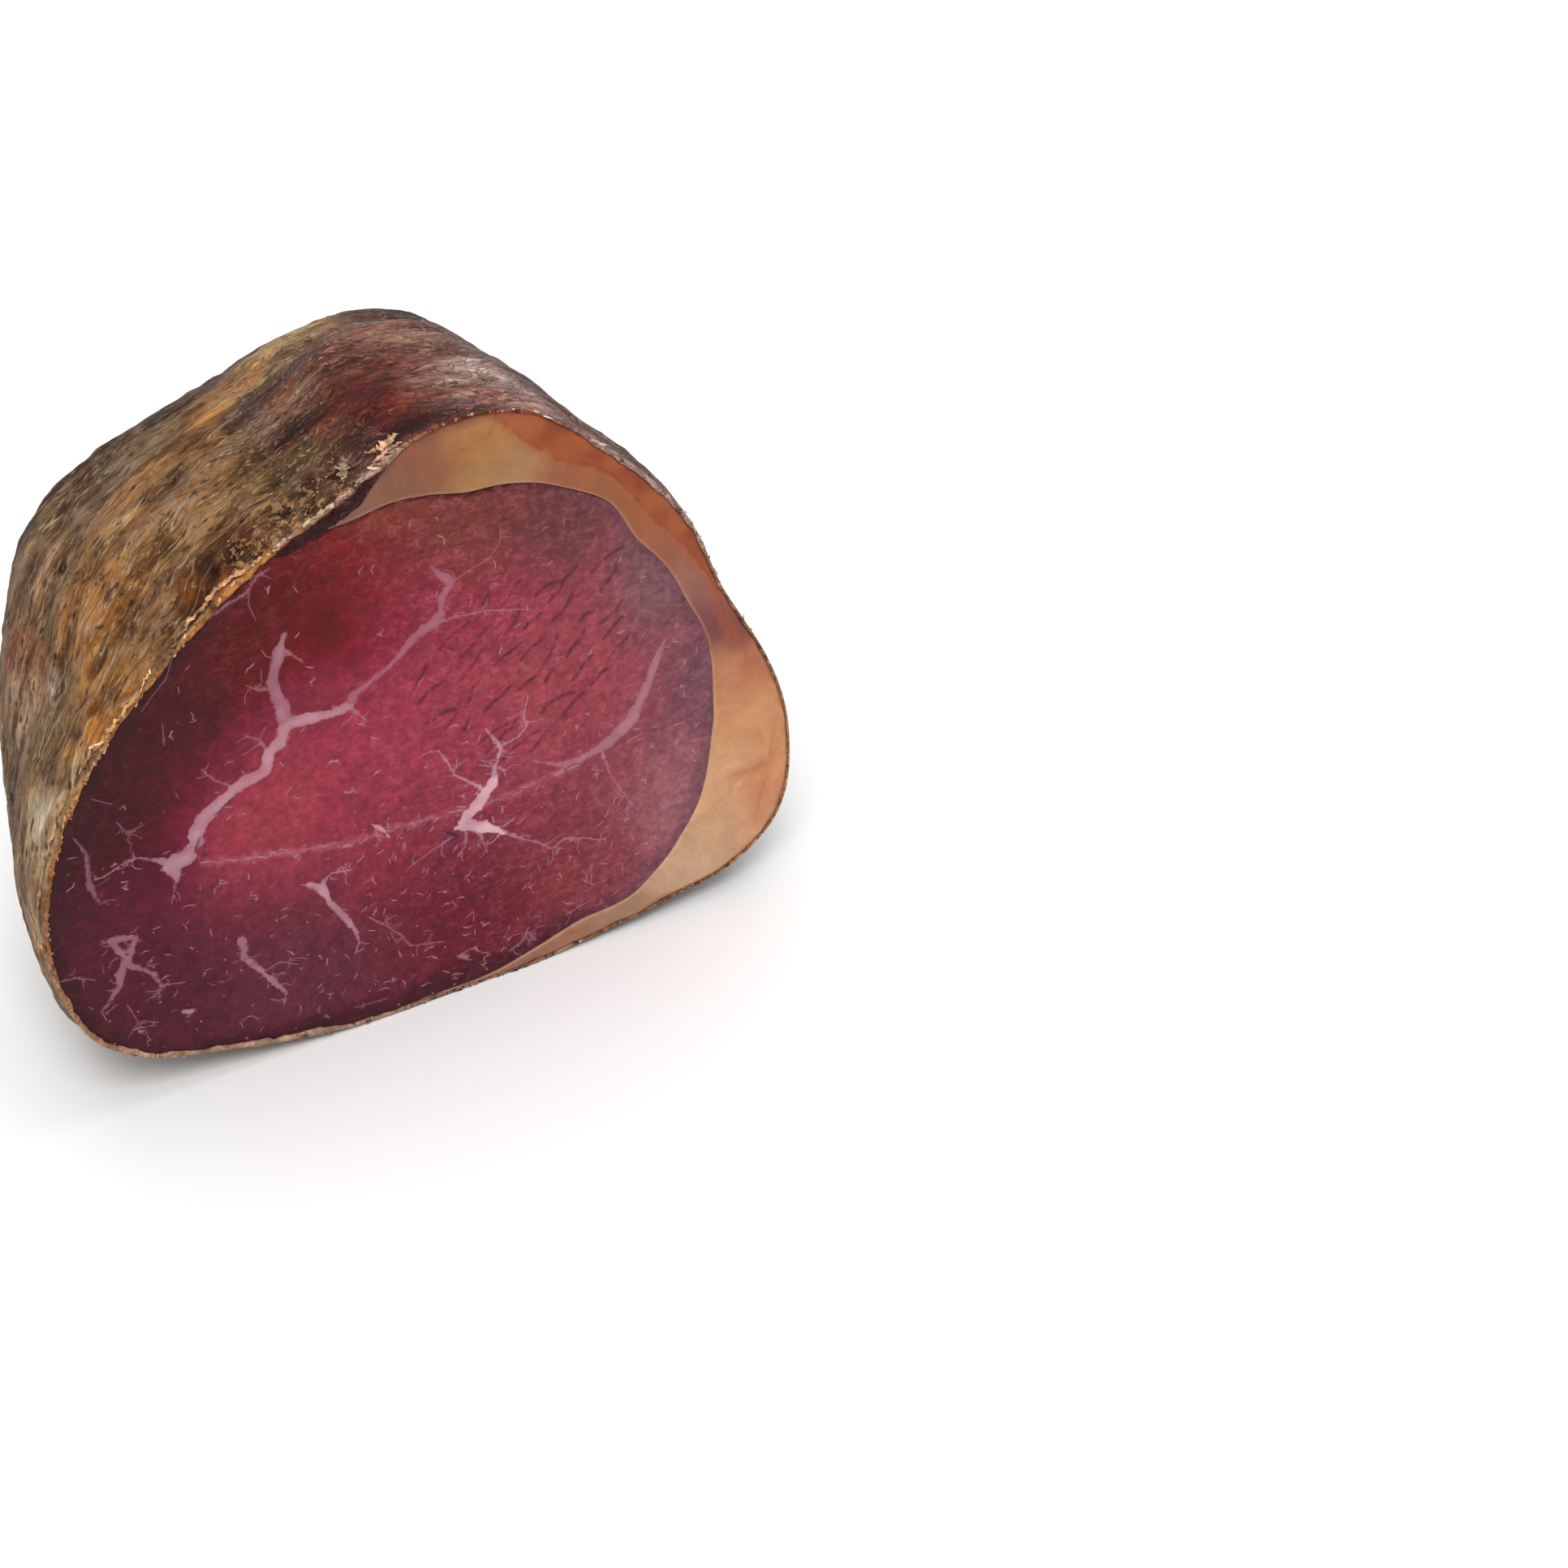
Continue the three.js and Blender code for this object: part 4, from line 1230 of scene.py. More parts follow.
def clean_faces(quads):
    """Quads with welded corners as they are where four corners differ, as triangles where three do."""
    same = quads == np.roll(quads, -1, axis=1)
    crossed = (quads[:, 0] == quads[:, 2]) | (quads[:, 1] == quads[:, 3])
    whole = quads[(same.sum(1) == 0) & ~crossed]
    three = (same.sum(1) == 1) & ~crossed
    triangles = quads[three][~same[three]].reshape(-1, 3)
    return [whole, triangles]


def fat_cap():
    """The fat: at each angle a closed loop of points, across the cut from the rind to the lean,
    back along the lean, and forward again under the rind."""
    angles = np.linspace(FAT_FROM - 1, FAT_TO + 1, FAT_COLUMNS)[:, None]
    rind = rind_thickness(angles) - 0.05
    thickness = np.maximum(fat_thickness(angles, 0) - rind, 0.25)
    closing = smoothstep((angles - FAT_FROM + 1) / 2) * smoothstep((FAT_TO + 1 - angles) / 2)
    thickness = thickness * closing
    share = np.linspace(0, 1, FAT_FACE_ROWS)[None]
    inset = rind + thickness * share
    radius = outline(angles) - inset
    a = np.radians(angles)
    from_rind, from_lean = thickness * share, thickness * (1 - share)
    place = np.stack([radius * np.cos(a), radius * np.sin(a)], -1)
    height = 0.3 * noise_at(in_space(place).reshape(-1, 3), 11, 44).reshape(radius.shape)
    height -= 0.4 * smoothstep(1 - from_rind / 0.6) + 0.4 * smoothstep(1 - from_lean / 0.5)
    face = np.stack([place[..., 0], -height, AXIS_HEIGHT + place[..., 1]], -1)

    depths = np.linspace(0, 1, FAT_WALL_ROWS)[None] ** 1.3 * (FAT_REACH - 0.03) + 0.02
    inner_inset = np.maximum(fat_thickness(angles, depths), rind_thickness(angles, depths) + 0.3)
    deep = 2.5 * smoothstep((depths - 0.02) / 0.1)
    inner = body_point(angles, depths, mix(rind, inner_inset, closing) + deep * closing)
    outer_inset = mix(rind, rind_thickness(angles, depths), closing) + deep * 0.6 * closing
    outer = body_point(angles, depths, outer_inset)
    loop = np.concatenate([face, inner, outer[:, ::-1]], 1)
    count = loop.shape[1]
    index = np.arange(loop.shape[0] * count).reshape(-1, count)
    index = np.concatenate([index, index[:, :1]], 1)

    points = loop.reshape(-1, 3)
    tint = np.tile(srgb(FAT_HIDDEN), (loop.shape[0], count, 1))
    on_face = fat_tint(place.reshape(-1, 2), from_rind.ravel(), from_lean.ravel())
    tint[:, :FAT_FACE_ROWS] = on_face.reshape(len(angles), FAT_FACE_ROWS, 3)
    lines = table_segments(AMBER_LINES)
    distance, _, _, nearest = segment_field(place.reshape(-1, 2), lines)
    strength = np.array([s[6] for s in lines])[nearest]
    amber = np.full((loop.shape[0], count), float(FAR))
    amber[:, :FAT_FACE_ROWS] = distance.reshape(len(angles), -1)
    amber_share = np.zeros((loop.shape[0], count))
    amber_share[:, :FAT_FACE_ROWS] = strength.reshape(len(angles), -1)
    _, first, back = np.unique(
        np.round(points, WELD_DIGITS), axis=0, return_index=True, return_inverse=True
    )
    quads = back.ravel()[grid_faces(index)]
    piece = make_piece(
        "fat_wrap",
        points[first],
        clean_faces(quads),
        waxy_fat(),
        {
            "tint": beneath_sheen(linear(tint.reshape(-1, 3)[first]), FAT_SHEEN),
            "amber": amber.ravel()[first],
            "amber_share": amber_share.ravel()[first],
        },
    )
    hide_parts("fat_cap")


# The rind: shades by photograph pixel, size in millimetres and colour
RIND_SHADES = {
    "ochre_rim_low": (125, 905, 9, "#b87033"),
    "olive_low": (150, 850, 9, "#af6e2e"),
    "straw_low": (60, 1040, 14, "#ccb189"),
    "straw_lowest": (45, 1125, 10, "#be9674"),
    # The next two are darker near the left outline: painted shade where the surface turns away
    "shaded_edge_left": (22, 800, 8, "#6b3114"),
    "shaded_edge_low": (12, 960, 6, "#61432d"),
    "tan_middle": (110, 740, 15, "#a2723f"),
    "orange_streak": (52, 810, 4, "#a06a3f"),
    "grey_fold": (135, 830, 6, "#9d6f3b"),
    "brown_middle": (230, 740, 9, "#783a0e"),
    "mauve_middle": (200, 760, 8, "#8f7257"),
    "tan_high": (180, 640, 16, "#9f7347"),
    "tan_peak": (372, 410, 8, "#ac8d64"),
    "tan_peak_low": (338, 455, 7, "#af8f64"),
    "grey_rim_right": (765, 572, 4, "#bca49e"),
    "grey_rim_far_right": (812, 614, 4, "#b9a097"),
    "grey_tan_high": (250, 560, 14, "#93673d"),
    "ochre_high": (335, 428, 11, "#d7ad6a"),
    "ochre_ridge": (260, 500, 9, "#cb8f4c"),
    "grey_green": (370, 570, 9, "#735731"),
    "olive_rim": (300, 640, 9, "#744a21"),
    "violet_brown": (330, 510, 9, "#644638"),
    "amber_rim": (298, 680, 5, "#531d08"),
    "dark_rim": (245, 765, 4, "#4d3a2a"),
    "ochre_patch": (262, 720, 4, "#7e4917"),
    "rust_stain": (136, 733, 2.4, "#4d260f"),
    "mahogany": (455, 485, 12, "#520801"),
    "mahogany_dark": (430, 430, 11, "#783c2f"),
    "mahogany_low": (500, 520, 8, "#691608"),
    "mahogany_top": (540, 400, 12, "#562b26"),
    "scuffed_top": (560, 452, 12, "#ae8177"),
    "scuffed_crown": (520, 430, 10, "#eeb79d"),
    "mould_net": (590, 488, 5, "#b29a91"),
    "grey_top_right": (645, 492, 9, "#b98a7f"),
    # The next three are painted shade along the outline of the crest, where it turns away
    "crest_shade_slate": (545, 388, 9, "#4c4142"),
    "crest_shade_slate_middle": (600, 424, 9, "#4a4043"),
    "crest_shade_slate_right": (658, 464, 7, "#4e4446"),
    "tan_far": (150, 600, 10, "#9c7551"),
    "pale_left_high": (60, 700, 8, "#c29573"),
    "pale_left": (30, 860, 8, "#dcb28e"),
    "pale_left_inner": (70, 850, 6, "#d8b394"),
    "grey_left_edge": (20, 930, 5, "#d6b38c"),
    "grey_scuff": (600, 460, 8, "#ddc7c1"),
    "mahogany_right": (540, 482, 6, "#74423b"),
}
# Its mean colours away from these, darker at the back as painted shade, the colours of its bloom, partly
# a painted highlight, and the painted shade in its hollows and between its crags
FLANK_COLOUR, FLANK_BACK_SHADED = "#86684a", "#67503d"
CAP_COLOUR, CAP_BACK_SHADED = "#6c4036", "#503a36"
BLOOM_FLANK, BLOOM_SALTY, CAP_BLOOM_AND_HIGHLIGHT = "#b39c8a", "#d8bb90", "#c6aa96"
BLOOM_POLISHED, BLOOM_CRAGS = "#a56e54", "#b7885a"
HOLLOW_SHADE, CRAG_GAP_SHADE = "#2a1a14", "#6b4a38"
RIND_SHEEN = 0.012
RIND_COLUMNS = 590
RIND_ROWS = 139
POLE_STEPS = np.array([0.6, 0.34, 0.18, 0.08, 0.03, 0.006])  # rings closer and closer to the pole
RIND_LIP_ROWS = 13
RIND_INNER_ROWS = 8
CRUST_COLOURS = {
    "underside": (-90, "#b08a72"),
    "lower_right": (-52, "#a87556"),
    "beak": (-30, "#b98358"),
    "right": (5, "#a9795f"),
    "upper_right": (45, "#c4a69a"),
    "crown": (72, "#8a4a30"),
    "crown_left": (84, "#7a3a26"),
    "cap_end": (93, "#c09a80"),
    "pale_edge": (103, "#b08368"),
    "flank_top": (122, "#bc7e45"),
    "flank": (150, "#b77c44"),
    "flank_low": (185, "#ad7244"),
    "lower_left": (215, "#b48a70"),
    "underside_left": (245, "#c09a84"),
}
# Painted shadow on the rind's wide cut face over the band
SHADOWED_BAND = "#441519"
SHADE_BEND = 5  # millimetres by which noise moves the borders between shades


def colours_by_angle(stations, angle):
    """A colour for each angle: each sRGB part is a closed curve through the named stations."""
    return np.stack(
        [
            curve_through([(at, srgb(colour)[part]) for at, colour in stations], angle, 360)
            for part in range(3)
        ],
        -1,
    )


# How far back the strands of the rind have wandered from the line round the piece, by angle
STRAND_CLIMB = {
    "right": (20, 5),
    "crown": (75, 8),
    "flank_top": (108, 13),
    "flank": (150, 0),
    "flank_low": (190, -13),
    "underside": (250, -9),
    "beak": (330, 0),
}


def ridged(x):
    """Noise turned into narrow crests and broad valleys: 1 - 2 |noise|, from -1 to 1."""
    return 1 - 2 * np.abs(x)


# Fine relief of the rind in millimetres: the length and the spacing of its coarse and fine crests,
# the size of its pebbles, and how far the crests wander with the size of that noise
COARSE_CREST = (26, 6.4)
FINE_CREST = (13, 2.9)
PEBBLE = 2.3
WANDER = ((3.4, 23), (0.8, 8))


def rind_wrinkles(points, run, rise):
    """Fine relief: two sets of narrow crests drawn out round the piece, which wander and climb
    with the run back from the cut, each with its spacing, and a pebbly grain. Also the points
    with that wandering run for depth, for finer patterns that follow the crests."""
    x, _, z = points.T
    (far, far_size), (near, near_size) = WANDER
    wander = far * noise_at(points, far_size, 51) + near * noise_at(points, near_size, 52)
    along = run + wander - rise
    folds, strings = (
        ridged(noise(x / long, along / apart, z / long, seed))
        for (long, apart), seed in ((COARSE_CREST, 53), (FINE_CREST, 54))
    )
    pebbles = noise_at(points, PEBBLE, 55)
    return folds, strings, pebbles, np.stack([x, along, z], -1)


def terraced(x):
    """Noise cut into flaky steps: whole steps joined by short steep rises."""
    t = 2.6 * x
    return (np.floor(t) + smoothstep((t - np.floor(t) - 0.35) / 0.3)) / 2.6


def rind_columns():
    """Angles of the columns, twice as close over the flank and crown that face the camera."""
    angle = np.linspace(0, 360, 2000)
    near = smoothstep((angle - 62) / 20) * smoothstep((228 - angle) / 20)
    total = np.cumsum(1 + 1.1 * near)
    total = (total - total[0]) / (total[-1] - total[0])
    return np.interp(np.arange(RIND_COLUMNS) / RIND_COLUMNS, total, angle)


def run_back(start=0):
    """Depth parameters from start to 1, with how far back along the outside each one lies."""
    u = 1 - (1 - start) * (1 - np.linspace(0, 1, 3000)) ** 3
    side = np.stack([BODY_DEPTH * depth_share(u), AXIS_HEIGHT * taper(90, u)], -1)
    return u, np.concatenate([[0], np.cumsum(np.hypot(*np.diff(side, axis=0).T))])


def even_depths(start, count, growth):
    """Depth parameters from start to 1 with steps along the side that grow steadily."""
    u, length = run_back(start)
    t = np.linspace(0, 1, count)
    share = (t + growth * t**2) / (1 + growth)
    near_pole = 1 - (1 - share[-2]) * POLE_STEPS
    share = np.concatenate([share[:-1], near_pole, [1]])
    return np.interp(share * length[-1], length, u)


# How patches of the flank differ from its mean colour, as shares of red, green and blue: the
# size in millimetres along and across the strings, the level of noise where one starts, shares
FLANK_PATCHES = {
    "soaked_brown": (11, 4.5, 0.2, (0.76, 0.71, 0.68)),
    "ochre": (24, 9, 0.26, (1.05, 0.99, 0.9)),
    "grey_bloom": (15, 6, 0.16, (0.98, 1.02, 1.1)),
    "pale_salt": (9, 3.5, 0.22, (1.16, 1.2, 1.24)),
}
CAP_PATCHES = {
    "black_brown": (14, 6, 0.18, (0.76, 0.66, 0.68)),
    "scuffed": (13, 4, 0.14, (1.2, 1.28, 1.3)),
    "rust": (12, 6, 0.3, (1.08, 0.92, 0.84)),
    "grey": (22, 9, 0.28, (1.04, 1.1, 1.12)),
}


def patchwork(points, patches, seed):
    """Shares of red, green and blue: each kind of patch lies where its own drawn-out noise is above
    its level, with a soft border."""
    shares = np.ones((len(points), 3))
    for kind, (long, wide, level, share) in enumerate(patches.values()):
        size = np.array([long, wide, long])
        lumps = noise_at(points, size, seed + kind)
        lumps += 0.4 * noise_at(points, size / 2.7, seed + 20 + kind)
        here = smoothstep((lumps - level) / 0.22)[:, None]
        shares *= mix(1, np.array(share), here)
    return shares


def facing_camera(points, way, pixel):
    """The point that the camera sees nearest to a pixel of the photograph."""
    seen = (way + 0.3 * np.array([0, -1, 0])) @ CAMERA_BACK > 0.1
    far = np.where(seen, np.hypot(*(to_pixels(points) - pixel).T), 1e9)
    return points[np.argmin(far)]


def rind_tint(points, angle, way):
    """The rind's colour: tan on the bare flank, mahogany over the fat and a darker slate brown at the
    back, which is painted shade where the surface turns away, the named shades where the photograph shows
    them, and the patchwork over all of it."""
    broad, middle, small = (
        noise_at(points, size, seed) for size, seed in ((34, 61), (13, 62), (5, 63))
    )
    turned = within_turn(angle)
    wobble = 7 * broad + 4 * middle + 2 * small
    at_back = smoothstep((way[:, 1] - 0.35 + 0.2 * middle) / 0.5)
    border = 9 + 26 * at_back
    on_fat = smoothstep((turned - FAT_FROM + wobble) / border + 0.5 * at_back)
    on_fat *= smoothstep((113 - turned + wobble) / border + 0.5 * at_back)
    on_fat = mix(on_fat, 0.5, smoothstep((way[:, 1] - 0.9) / 0.1))
    # Darker at the back: painted shade where the surface turns away from the light
    flank = mix(srgb(FLANK_COLOUR), srgb(FLANK_BACK_SHADED), at_back[:, None])
    cap = mix(srgb(CAP_COLOUR), srgb(CAP_BACK_SHADED), at_back[:, None])
    colour = mix(flank, cap, on_fat[:, None])
    bend = SHADE_BEND * np.stack([middle, noise_at(points, 13, 64), noise_at(points, 13, 65)], -1)
    shades = list(RIND_SHADES.values())
    centres = [facing_camera(points, way, shade[:2]) for shade in shades]
    distances = np.array([np.linalg.norm(points + bend - centre, axis=1) for centre in centres])
    named, pull = blend_shades(distances, shades)
    colour = mix(colour, named, smoothstep(pull * 1.4)[:, None])
    patches = mix(
        patchwork(points, FLANK_PATCHES, 100), patchwork(points, CAP_PATCHES, 150), on_fat[:, None]
    )
    return np.clip(colour * patches, 0, 1), on_fat


def with_poles(values, rings):
    """The values of the points, column by column, followed by those of the two poles: the means of
    the first ring and of the last."""
    by_column = values.reshape((-1, rings) + values.shape[1:])
    return np.concatenate([values, by_column[:, [0, -1]].mean(0)])


# Rough places of the rind: photograph pixel and size in millimetres
CRAG_PATCHES = {
    "below_the_flake": (400, 605, 9),
    "over_the_band": (350, 640, 8),
    "ochre_crags": (300, 680, 6),
}
# Where handling has rubbed off the bloom
POLISHED = {"mahogany": (455, 485, 15), "under_the_crown": (500, 522, 9), "amber_rim": (285, 695, 8)}
HOLLOWS = {
    "edge_hole": (16, 985, 3.2),
    "dark_pit": (95, 905, 2.2),
    "upper_pit": (75, 700, 2.2),
    "small_pit": (210, 590, 1.8),
    "rim_pit": (262, 705, 2.0),
}


def nearness(points, way, places):
    """1 in the middle of each named place, fading out over its size; the largest of them."""
    share = np.zeros(len(points))
    for x, y, size in places.values():
        distance = np.linalg.norm(points - facing_camera(points, way, (x, y)), axis=1)
        share = np.maximum(share, np.exp(-((distance / size) ** 2)))
    return share


def cragginess(points, way):
    """Where the rind has cracked into flaky steps."""
    return smoothstep(1.6 * nearness(points, way, CRAG_PATCHES) - 0.2)


def hollows(points, way):
    """Where the rind has a hollow, which is dented and darkened with painted shade."""
    return nearness(points, way, HOLLOWS)


def rind():
    """The rind: a closed shell. A profile of rows runs from a pole inside, forward along the inner
    wall, round the ragged lip at the cut and back along the outside to the pole of the back."""
    columns = rind_columns()[:, None]
    inner_depths = np.linspace(0.96, 0.015, RIND_INNER_ROWS)[None]
    lip_share = np.linspace(0, 1, RIND_LIP_ROWS)[None]
    outer_depths = even_depths(0.004, RIND_ROWS + 1, 0.9)[None, :-1]

    inner = body_point(columns, inner_depths, rind_thickness(columns, inner_depths))
    thickness = rind_thickness(columns)
    radius = outline(columns) - thickness * (1 - lip_share)
    a = np.radians(columns)
    across, up = radius * np.cos(a), radius * np.sin(a)
    on_flank = smoothstep((columns - 92) / 10) * smoothstep((222 - columns) / 12)
    bits = 0.5 + 0.5 * noise(across / 3.1, lip_share * 1.5, up / 3.1, 71)
    crumbs = noise(across / 1.15, lip_share * 3, up / 1.15, 72)
    on_band = smoothstep((columns - 93) / 4) * smoothstep((122 - columns) / 4)
    bits = bits * (1 - 0.85 * on_band * smoothstep((0.85 - lip_share) / 0.2))
    proud = rim_height(within_turn(columns)) * 0.5 + on_flank * (0.9 * bits + 0.35 * crumbs)
    forward = 0.12 + (proud + 0.12 * crumbs) * np.sin(np.pi * lip_share**1.3) ** 0.8
    lip = np.stack([across, -forward, AXIS_HEIGHT + up], -1)
    outer = body_point(columns, outer_depths)
    shell = np.concatenate([inner, lip, outer], 1)
    rings = shell.shape[1]

    def to_shell(row):
        return np.broadcast_to(row, shell.shape[:2]).ravel()

    angle = to_shell(columns)
    u = to_shell(np.concatenate([inner_depths, 0 * lip_share, outer_depths], 1))
    outside = to_shell(np.arange(rings) >= RIND_INNER_ROWS + RIND_LIP_ROWS - 1)
    behind = np.concatenate([0 * inner_depths, lip_share, 0 * outer_depths + 1], 1)
    from_outside = (1 - to_shell(behind)) * np.repeat(thickness.ravel(), rings)
    points = shell.reshape(-1, 3)
    way = outwards(angle, u)

    flank_share = smoothstep((angle - 105) / 30) * smoothstep((235 - angle) / 30)
    rise = curve_through(list(STRAND_CLIMB.values()), angle, 360)
    rise *= 1 - smoothstep((way[:, 1] - 0.4) / 0.5)
    folds, strings, pebbles, flow = rind_wrinkles(points, np.interp(u, *run_back()), rise)
    craggy = cragginess(points, way)
    crags = terraced(noise_at(points, 3.6, 57) + 0.5 * noise_at(points, 1.8, 58))
    height = (0.5 + 0.45 * flank_share) * folds + 0.36 * strings + 0.14 * pebbles
    height = mix(height, 0.9 * crags + 0.1, craggy)
    height -= 1.5 * hollows(points, way)
    height = (height - 0.35) * outside * smoothstep(0.2 + points[:, 1] / 4)
    points = points + way * height[:, None]
    points[:, 2] = np.maximum(points[:, 2], 0)

    tint, on_fat = rind_tint(points, angle, way)
    crust = colours_by_angle(list(CRUST_COLOURS.values()), angle)
    crust = crust * (1 + 0.16 * noise_at(points, 1.6, 73) + 0.1 * noise_at(points, 4.5, 74))[:, None]
    # Over the band, between the crown and the flank top, the rind's cut face is painted dark as shadow
    band = to_shell(on_band) * smoothstep((from_outside - 0.8 - 0.4 * noise_at(points, 2.2, 75)) / 0.4)
    crust = mix(crust, srgb(SHADOWED_BAND), band[:, None])
    rim_width = np.maximum(1.2 + 1.3 * noise_at(points, 2.6, 66), 0.25)
    at_rim = smoothstep(1 - np.maximum(points[:, 1] - 0.2, 0) / rim_width)
    tint = mix(tint, crust, (at_rim * (0.85 - 0.5 * on_fat))[:, None])
    tint = np.where(outside[:, None], tint, crust)
    # Painted shade in the hollows
    tint = mix(tint, srgb(HOLLOW_SHADE), 0.8 * hollows(points, way)[:, None])
    craggy = craggy * (1 - band)
    # Painted shade in the low steps between the crags
    tint = mix(tint, srgb(CRAG_GAP_SHADE), (0.35 * craggy * smoothstep(0.5 - crags))[:, None])

    drawn_out = np.array([14, 5, 14])
    salty = smoothstep(0.5 + 1.6 * noise_at(flow, drawn_out, 67))[:, None]
    flank_bloom = mix(srgb(BLOOM_FLANK), srgb(BLOOM_SALTY), salty)
    bloom = mix(flank_bloom, srgb(CAP_BLOOM_AND_HIGHLIGHT), on_fat[:, None])
    bloom_share = 0.85 + 0.4 * noise_at(flow, drawn_out, 68)
    polished = np.maximum(0.8 * nearness(points, way, POLISHED), 0.9 * band)
    bloom_share *= (1 - polished) * (1 - 0.4 * smoothstep((way[:, 1] - 0.4) / 0.4))
    bloom = mix(bloom, srgb(BLOOM_POLISHED), nearness(points, way, POLISHED)[:, None])
    bloom = mix(bloom, srgb(BLOOM_CRAGS), craggy[:, None])
    pores = smoothstep(0.65 + 1.8 * noise_at(points, 20, 69)) * (0.9 - 0.5 * on_fat)
    crumbly = np.maximum(craggy, 0.7 * at_rim * flank_share * (1 - band)) * outside
    # The relief as the shader reads it: it paints shade on the low places and pale bloom, partly a
    # painted highlight, on the high ones
    ridge = 0.6 * (folds - 0.35) + 0.45 * (strings - 0.35) + 0.2 * pebbles
    ridge = outside * mix(ridge, 1.1 * crags - 0.2, craggy)
    attributes = {
        "tint": beneath_sheen(linear(with_poles(tint, rings)), RIND_SHEEN),
        "ridge": with_poles(ridge, rings),
        "bloom": linear(with_poles(bloom, rings)),
        "bloom_share": with_poles(np.clip(bloom_share, 0, 1), rings),
        "over_fat": with_poles(on_fat, rings),
        "pores": with_poles(pores, rings),
        "crumbly": with_poles(crumbly, rings),
        "flow": with_poles(flow * MM, rings),
    }
    index = np.arange(len(points)).reshape(-1, rings)
    closed = np.concatenate([index, index[:1]])
    faces = [
        grid_faces(closed),
        fan_faces(index[:, -1], len(points) + 1),
        fan_faces(index[:, 0], len(points), before_pole=False),
    ]
    make_piece(
        "smoked_rind",
        with_poles(points, rings),
        faces,
        smoke_dried_rind(),
        attributes,
        sharp_degrees=75,
    )
    return points[outside], way[outside], craggy[outside]


# Crumbs and flakes that stand off the rind. Along the rim, by angle: how many, the range of angles,
# the range of lengths, widths and depths in from the outline in millimetres, and two colours
RIM_CHIPS = {
    "orange_crust": (60, (119, 143), (0.7, 2.4), (0.4, 0.9), (-0.2, 1.0), "#a5693f", "#d6aa80"),
    "ragged_middle": (26, (143, 168), (0.7, 2.2), (0.4, 0.8), (-0.2, 1.2), "#a8764a", "#d6ac84"),
    "ochre_bits": (30, (157, 182), (0.7, 2.2), (0.4, 0.8), (-0.2, 1.4), "#aa7a4a", "#d6ac80"),
    "low_left_bits": (24, (182, 212), (0.7, 2.2), (0.4, 0.8), (-0.2, 1.2), "#a07a54", "#cba884"),
    "pale_edge": (60, (92, 119), (0.8, 3.0), (0.4, 0.9), (-0.2, 0.6), "#9c7965", "#d6bba2"),
    "crown_nodules": (12, (68, 90), (0.5, 1.4), (0.4, 0.9), (-0.2, 0.6), "#a8643a", "#e0b696"),
    "grey_slivers": (30, (28, 68), (1.6, 4.2), (0.4, 0.8), (-0.3, 0.4), "#8f7674", "#cdbab2"),
    "right_slivers": (18, (0, 28), (1.2, 3.0), (0.3, 0.6), (-0.3, 0.3), "#9c6e62", "#ceb2a8"),
    "underside_bits": (40, (212, 300), (0.7, 2.4), (0.4, 0.7), (-0.2, 0.5), "#9c6e5a", "#cfa98e"),
}
CRUMB_COUNT = 130
CRUMB_COLOURS = {"#5c3b26": 0.38, "#8f6540": 0.32, "#ae8654": 0.22, "#d0ae84": 0.08}  # with shares
CHIP_CORNERS = 8
# A flake's section: for each of its points the side and the rise, as shares of its half width
FLAKE_SECTION = (
    (-1, 0.5), (-0.5, 0.1), (0, 0), (0.5, 0.1), (1, 0.5), (0.5, -0.25), (0, -0.35), (-0.5, -0.25),
)
FLAKE_ROWS = 8  # rows of a flake for each point of its path
FLAKE_SMOOTHING = 12  # rounds of smoothing of its middle line
# Flakes that have come away from the rind: path of photograph pixels with its width there, how
# far the flake stands off in millimetres, and its colour
TORN_FLAKES = {
    "cap_flake": (1.0, "#cfa27c", [
        (450, 561, 0.3), (459, 561, 1.3), (468, 559, 2.0), (476, 553, 2.6), (483, 546, 2.3),
        (487, 540, 1.4), (489, 536, 0.3),
    ]),
    "cap_edge": (0.6, "#b98f79", [
        (458, 579, 0.3), (470, 573, 1.0), (482, 566, 1.2), (494, 557, 1.0), (500, 552, 0.3),
    ]),
    "pale_tongue": (0.15, "#a1886f", [
        (425, 596, 0.4), (423, 588, 2.0), (424, 578, 3.0), (428, 566, 1.6),
    ]),
    "crust_high": (0.3, "#b58760", [
        (328, 682, 0.4), (318, 690, 1.2), (308, 697, 0.8), (298, 706, 1.7), (288, 714, 1.0),
        (278, 724, 1.8), (268, 733, 0.9), (258, 743, 1.7), (247, 755, 0.8), (237, 766, 1.5),
        (228, 777, 0.8), (221, 788, 0.3),
    ]),
    "crust_low": (0.1, "#a87c52", [
        (178, 850, 0.4), (170, 860, 1.2), (160, 872, 1.0), (151, 884, 1.6), (143, 894, 1.1),
        (133, 906, 1.7), (124, 917, 1.2), (115, 929, 1.5), (106, 941, 1.0), (97, 955, 0.4),
    ]),
    "crust_foot": (0.1, "#a98058", [
        (84, 978, 0.4), (78, 992, 1.4), (72, 1008, 1.0), (67, 1026, 1.3), (62, 1046, 0.9),
        (58, 1066, 1.2), (54, 1086, 0.8), (50, 1106, 1.1), (47, 1126, 0.4),
    ]),
    "dark_shred": (0.7, "#6b4a3a", [
        (222, 790, 0.3), (212, 802, 1.0), (203, 815, 0.8), (194, 828, 0.3),
    ]),
    "rim_shred": (0.9, "#e6c79a", [(112, 933, 0.3), (119, 923, 0.9), (126, 914, 0.3)]),
    "rim_shred_high": (0.9, "#e8cfa8", [(178, 850, 0.3), (183, 838, 0.8), (189, 826, 0.3)]),
    "left_shred": (0.3, "#b98450", [
        (50, 1163, 0.3), (55, 1166, 1.2), (60, 1172, 1.0), (64, 1179, 0.3),
    ]),
}


